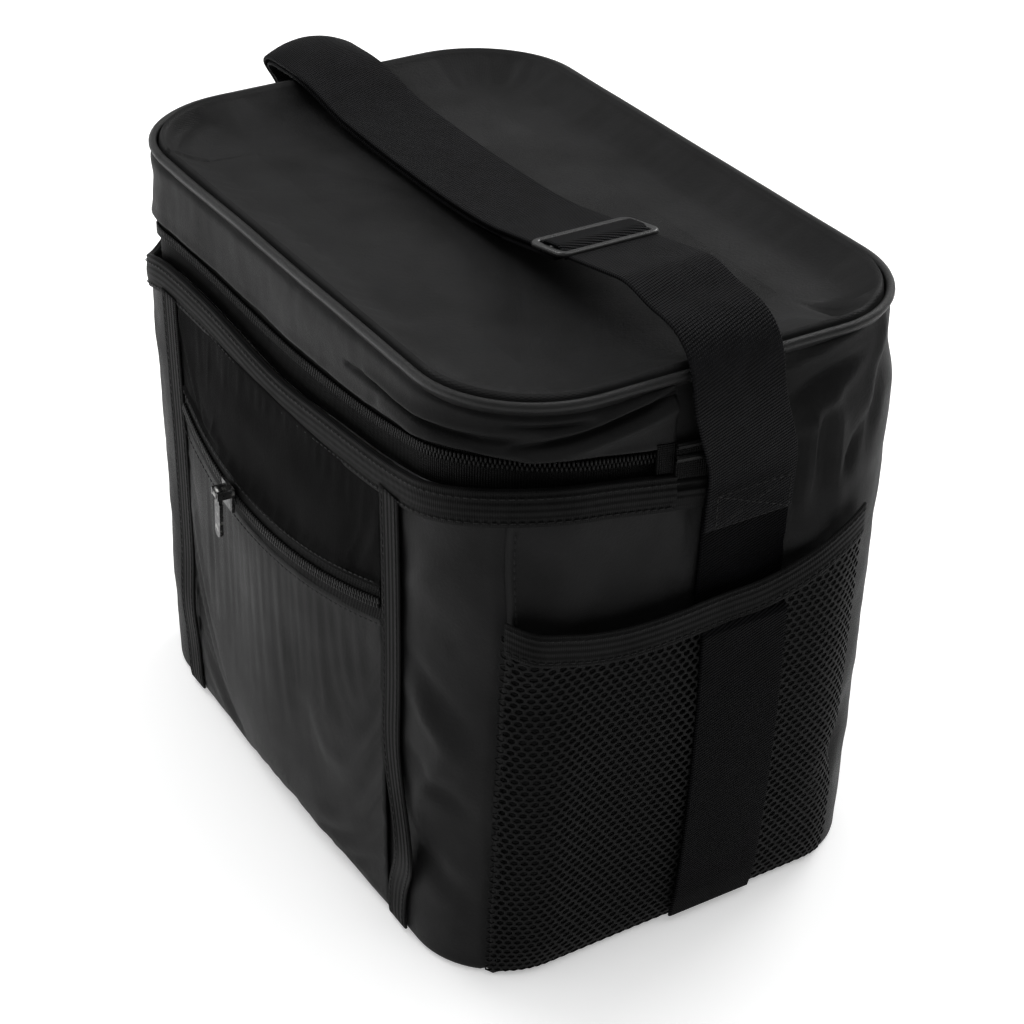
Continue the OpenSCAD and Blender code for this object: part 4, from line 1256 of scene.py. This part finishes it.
def make_adjuster():
    """The slide adjuster: a slender frame with rounded corners and a middle bar under the webbing's fold."""
    low, high = span("strap_adjuster")
    slope = math.atan2(SLOPE_TOP[1] - SLOPE_END[1], SLOPE_TOP[0] - SLOPE_END[0])
    along = np.array([math.cos(slope), 0, math.sin(slope)])
    up = np.array([-math.sin(slope), 0, math.cos(slope)])
    across = np.array([0, 1.0, 0])
    middle = (low + high) / 2 + up * 0.5
    half_l, half_w, r = 9.8, (high[1] - low[1]) / 2 - 1.9, 3.0
    turns = []
    for sx, sy, start in ((1, -1, -90), (1, 1, 0), (-1, 1, 90), (-1, -1, 180)):
        for a in np.radians(np.linspace(start, start + 90, 7)):
            turns.append((sx * (half_l - r) + r * math.cos(a), sy * (half_w - r) + r * math.sin(a)))
    turns = np.array(turns)
    path = middle + turns[:, :1] * along + turns[:, 1:] * across
    way = np.roll(turns, -1, 0) - np.roll(turns, 1, 0)
    way /= np.linalg.norm(way, axis=1, keepdims=True)
    side = way[:, 1:] * along - way[:, :1] * across
    ups = np.tile(up, (len(path), 1))
    frame_obj = sweep("adjuster_frame", path, side, ups, flat_profile(2.9, 2.0, 2, -1.0), PLASTIC, "adjuster",
                      closed=True)
    stands_for(frame_obj, "black_plastic", "strap_adjuster")
    y = np.linspace(-half_w, half_w, 12)
    bar = sweep("adjuster_bar", middle + y[:, None] * across - up * 0.3, np.tile(along, (12, 1)),
                np.tile(up, (12, 1)), round_profile(1.2), PLASTIC, "adjuster")
    stands_for(bar, "black_plastic")
    a = np.linspace(-8.2, 8.2, 25)
    height = 1.5 - 3.6 * np.clip((np.abs(a) - 3.5) / 4.7, 0, 1) ** 1.6
    fold_path = middle + a[:, None] * along + height[:, None] * up
    grade = np.gradient(height, a)
    out = (up - grade[:, None] * along) / np.sqrt(1 + grade[:, None] ** 2)
    fold_web = sweep("adjuster_web_fold", fold_path, np.tile(across, (25, 1)), out,
                     flat_profile(WEB_W - 0.8, 1.3, 12, -0.65), WEBBING, "adjuster")
    stands_for(fold_web, "webbing")


def make_ring_loop():
    """The webbing that holds the ring, folded round its lower bar."""
    low = span("strap_ring")[0][2] + 1.5
    reach = 2.6
    top = low + 0.2
    z0 = span("ring_loop")[0][2]
    front = [(RING_X - reach, z) for z in np.linspace(z0, top, 6)]
    over = np.linspace(0.3, math.pi - 0.3, 7)
    turn = [(RING_X - reach * math.cos(a), top + reach * math.sin(a)) for a in over]
    back = [(RING_X + reach, z) for z in np.linspace(top, z0, 6)]
    line = np.array(front + turn + back)
    loop, _, _ = strap_body("ring_loop_band", line, flat_profile(WEB_W, 1.5, 10, -0.75), -1)
    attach(loop, "bag")
    stands_for(loop, "webbing", "ring_loop")


def box_stitch():
    """Boxes with crosses that hold the webbing's ends."""
    rows = []
    for side, z0, z1, x in ((1, WEB_TOP - 14, WEB_TOP - 2, span("side_webbing_right")[1][0] + 2.5),
                            (-1, 146, 156, -RING_X * -1 - 3.45)):
        middle = WEB_RIGHT_Y if side > 0 else WEB_Y
        y0, y1 = middle - WEB_W / 2 + 3, middle + WEB_W / 2 - 3
        corners = [(y0, z0), (y1, z0), (y1, z1), (y0, z1)]
        lines = [(corners[k], corners[(k + 1) % 4]) for k in range(4)]
        lines += [(corners[0], corners[2]), (corners[1], corners[3])]
        for (ya, za), (yb, zb) in lines:
            t = np.linspace(0, 1, 12)
            path = np.stack([np.full(12, x if side > 0 else x), mix(ya, yb, t), mix(za, zb, t)], -1)
            rows.append((path, np.tile([float(side), 0, 0], (12, 1))))
    return rows


# ---- Inside ----
def make_lining():
    """The foil lining of the cavity, which rolls over the foam at the rim and runs on up behind the fold."""
    s = np.linspace(0, LOOP, 220, endpoint=False)
    deep = 7.6
    floor_z = span("liner_base")[1][2]
    behind = ((s > on_right(FOLD_Y) + 2) & (s < mirrored(on_right(FOLD_Y)) - 2)).astype(float)
    rows = []
    for share in np.linspace(0.03, 0.97, 14):
        line = wall(s, np.full(len(s), floor_z), -deep)
        line[:, :2] *= share
        line[:, 2] = floor_z + 0.5 * rumple(line[:, 0], line[:, 1], 30, 4.4)
        rows.append(line)
    for z in np.concatenate([[floor_z + 0.6, floor_z + 2.5], np.linspace(14, RIM_H - 3, 52)]):
        rows.append(wall(s, np.full(len(s), z), -deep + 0.6 * rumple(s, z + 0 * s, 24, 6.6, 1.8) - 0.4))
    top = span("lid_rear_liner")[0][2] - 0.3
    for k, (inset, height) in enumerate(((7.4, -3), (6.8, -2.4), (5.6, -2.2), (4.4, -3))):
        open_rim = wall(s, np.full(len(s), RIM_H + height), -inset)
        shut = wall(s, np.full(len(s), mix(RIM_H, top, (k + 1) / 4)), -deep + 1 + k * 0.9)
        rows.append(mix(open_rim, shut, behind[:, None]))
    grid = np.stack(rows, 1)[::-1]
    lining = sheet("cavity_lining", grid, FOIL, "bag", 0.0, wrap=True)
    layer = lining.modifiers.new("thickness", "SOLIDIFY")
    layer.thickness = 0.5 * MM
    layer.offset = -1
    stands_for(lining, "foil_liner", "liner_front", "liner_back", "liner_left", "liner_right", "liner_base")


def make_lid_lining():
    s = np.linspace(0, LOOP, 200, endpoint=False)
    low = span("lid_front_liner")[0][2]
    rows = []
    for share in np.concatenate([np.linspace(0.02, 0.94, 20), [0.975, 1.0]]):
        line = lid_line(s, 3.4, low) * [share, share, 1]
        line[:, 2] = low + 0.5 * rumple(line[:, 0], line[:, 1], 26, 1.4) + 3.0 * ease((share - 0.93) / 0.07)
        rows.append(line)
    lining = sheet("lid_lining", np.stack(rows, 1), FOIL, None, 0.5, wrap=True)
    fold_over(lining)
    stands_for(lining, "foil_liner", "lid_rear_liner", "lid_front_liner")


# ---- CAD nodes that stay ----
def finish_nodes():
    """Gives each CAD node that shows its material, and soft edges where it is moulded or cast."""
    looks = {
        "base_board": BOARD, "foam_base": FOAM, "lid_rear_foam": FOAM, "lid_front_foam": FOAM,
        "strap_ring": PLASTIC, "zip_slider": METAL, "zip_pull": METAL,
        "pocket_slider": METAL, "pocket_pull": METAL,
    }
    for name, look in looks.items():
        obj = frame["nodes"][name]
        obj.data.materials.clear()
        obj.data.materials.append(look)
        if look in (PLASTIC, METAL):
            edge = obj.modifiers.new("soft_edges", "BEVEL")
            edge.width = (0.5 if look is PLASTIC else 0.3) * MM
            edge.segments = 3
            edge.limit_method = "ANGLE"
            edge.angle_limit = math.radians(40)


# ---- Stage ----
def make_stage():
    bpy.ops.mesh.primitive_plane_add(size=8)
    floor = bpy.context.object
    floor.name = "floor"
    mat, tree, shader = new_material("floor", Roughness=0.9, Specular_IOR_Level=0.1)
    tree.links.new(ramp(tree, noise_at(tree, 3), (0.9,) * 3, (0.93,) * 3), shader.inputs["Base Color"])
    shader.inputs["Emission Color"].default_value = (1, 1, 1, 1)
    shader.inputs["Emission Strength"].default_value = 0.35
    floor.data.materials.append(mat)
    world = bpy.data.worlds.new("studio")
    world.use_nodes = True
    tree = world.node_tree
    way = node(tree, "ShaderNodeTexCoord", {}).outputs["Generated"]
    lit = node(tree, "ShaderNodeVectorMath", {0: way, 1: (-0.55, -0.45, 0.7)}, operation="DOT_PRODUCT")
    sky = ramp(tree, math_node(tree, "MULTIPLY_ADD", lit.outputs["Value"], 0.5), 0.05, 1.0, (0.15, 0.95))
    tree.nodes["Background"].inputs[1].default_value = 0.6
    tree.links.new(sky, tree.nodes["Background"].inputs[0])
    bpy.context.scene.world = world
    target = Vector((0, 0, 0.12))
    for name, place, size, power in (
        ("key", (-1.5, -0.5, 1.7), 1.0, 15),
        ("top", (0.2, 0.3, 1.9), 1.6, 15),
        ("rim", (-0.6, 1.5, 1.1), 0.9, 14),
        ("low", (-0.35, -0.62, 0.03), 0.35, 1.1),
    ):
        light = bpy.data.lights.new(name, "AREA")
        light.size = size
        light.energy = power
        obj = bpy.data.objects.new(name, light)
        obj.location = place
        obj.rotation_euler = (Vector(place) - target).to_track_quat("Z", "Y").to_euler()
        obj.visible_camera = False
        bpy.context.scene.collection.objects.link(obj)
    bpy.context.scene.view_settings.view_transform = "Standard"


CAMERA_ANGLES = (57.90, 32.06, 1.22)        # azimuth, elevation and roll, in degrees
CAMERA_TARGET = (3.1, 4.97, 100.7)
CAMERA_DISTANCE = 905.4
CAMERA_LENS = 84.47


def make_camera():
    azimuth, elevation, roll = (math.radians(a) for a in CAMERA_ANGLES)
    target = Vector(CAMERA_TARGET) * MM
    distance = CAMERA_DISTANCE * MM
    back = Vector((math.sin(azimuth) * math.cos(elevation), -math.cos(azimuth) * math.cos(elevation),
                   math.sin(elevation)))
    right = Vector((0, 0, 1)).cross(back).normalized()
    up = back.cross(right)
    tilted_right = right * math.cos(roll) + up * math.sin(roll)
    tilted_up = up * math.cos(roll) - right * math.sin(roll)
    data = bpy.data.cameras.new("camera")
    data.sensor_width = 36
    data.lens = CAMERA_LENS
    data.clip_start = 0.05
    camera = bpy.data.objects.new("camera", data)
    camera.matrix_world = Matrix((tilted_right, tilted_up, back)).transposed().to_4x4()
    camera.location = target + back * distance
    bpy.context.scene.collection.objects.link(camera)
    bpy.context.scene.camera = camera


make_camera()
make_stage()
make_walls()
make_foam()
make_base()
make_lid()
make_skirt()
make_lid_zip()
make_top_binding()
make_strips()
make_pocket()
for pocket_side in (1, -1):
    make_mesh_pocket(pocket_side)
make_side_webbing()
make_strap()
make_strap_return()
make_ring_loop()
make_adjuster()
stitches("webbing_box_stitches", box_stitch(), "bag")
make_lining()
make_lid_lining()
finish_nodes()
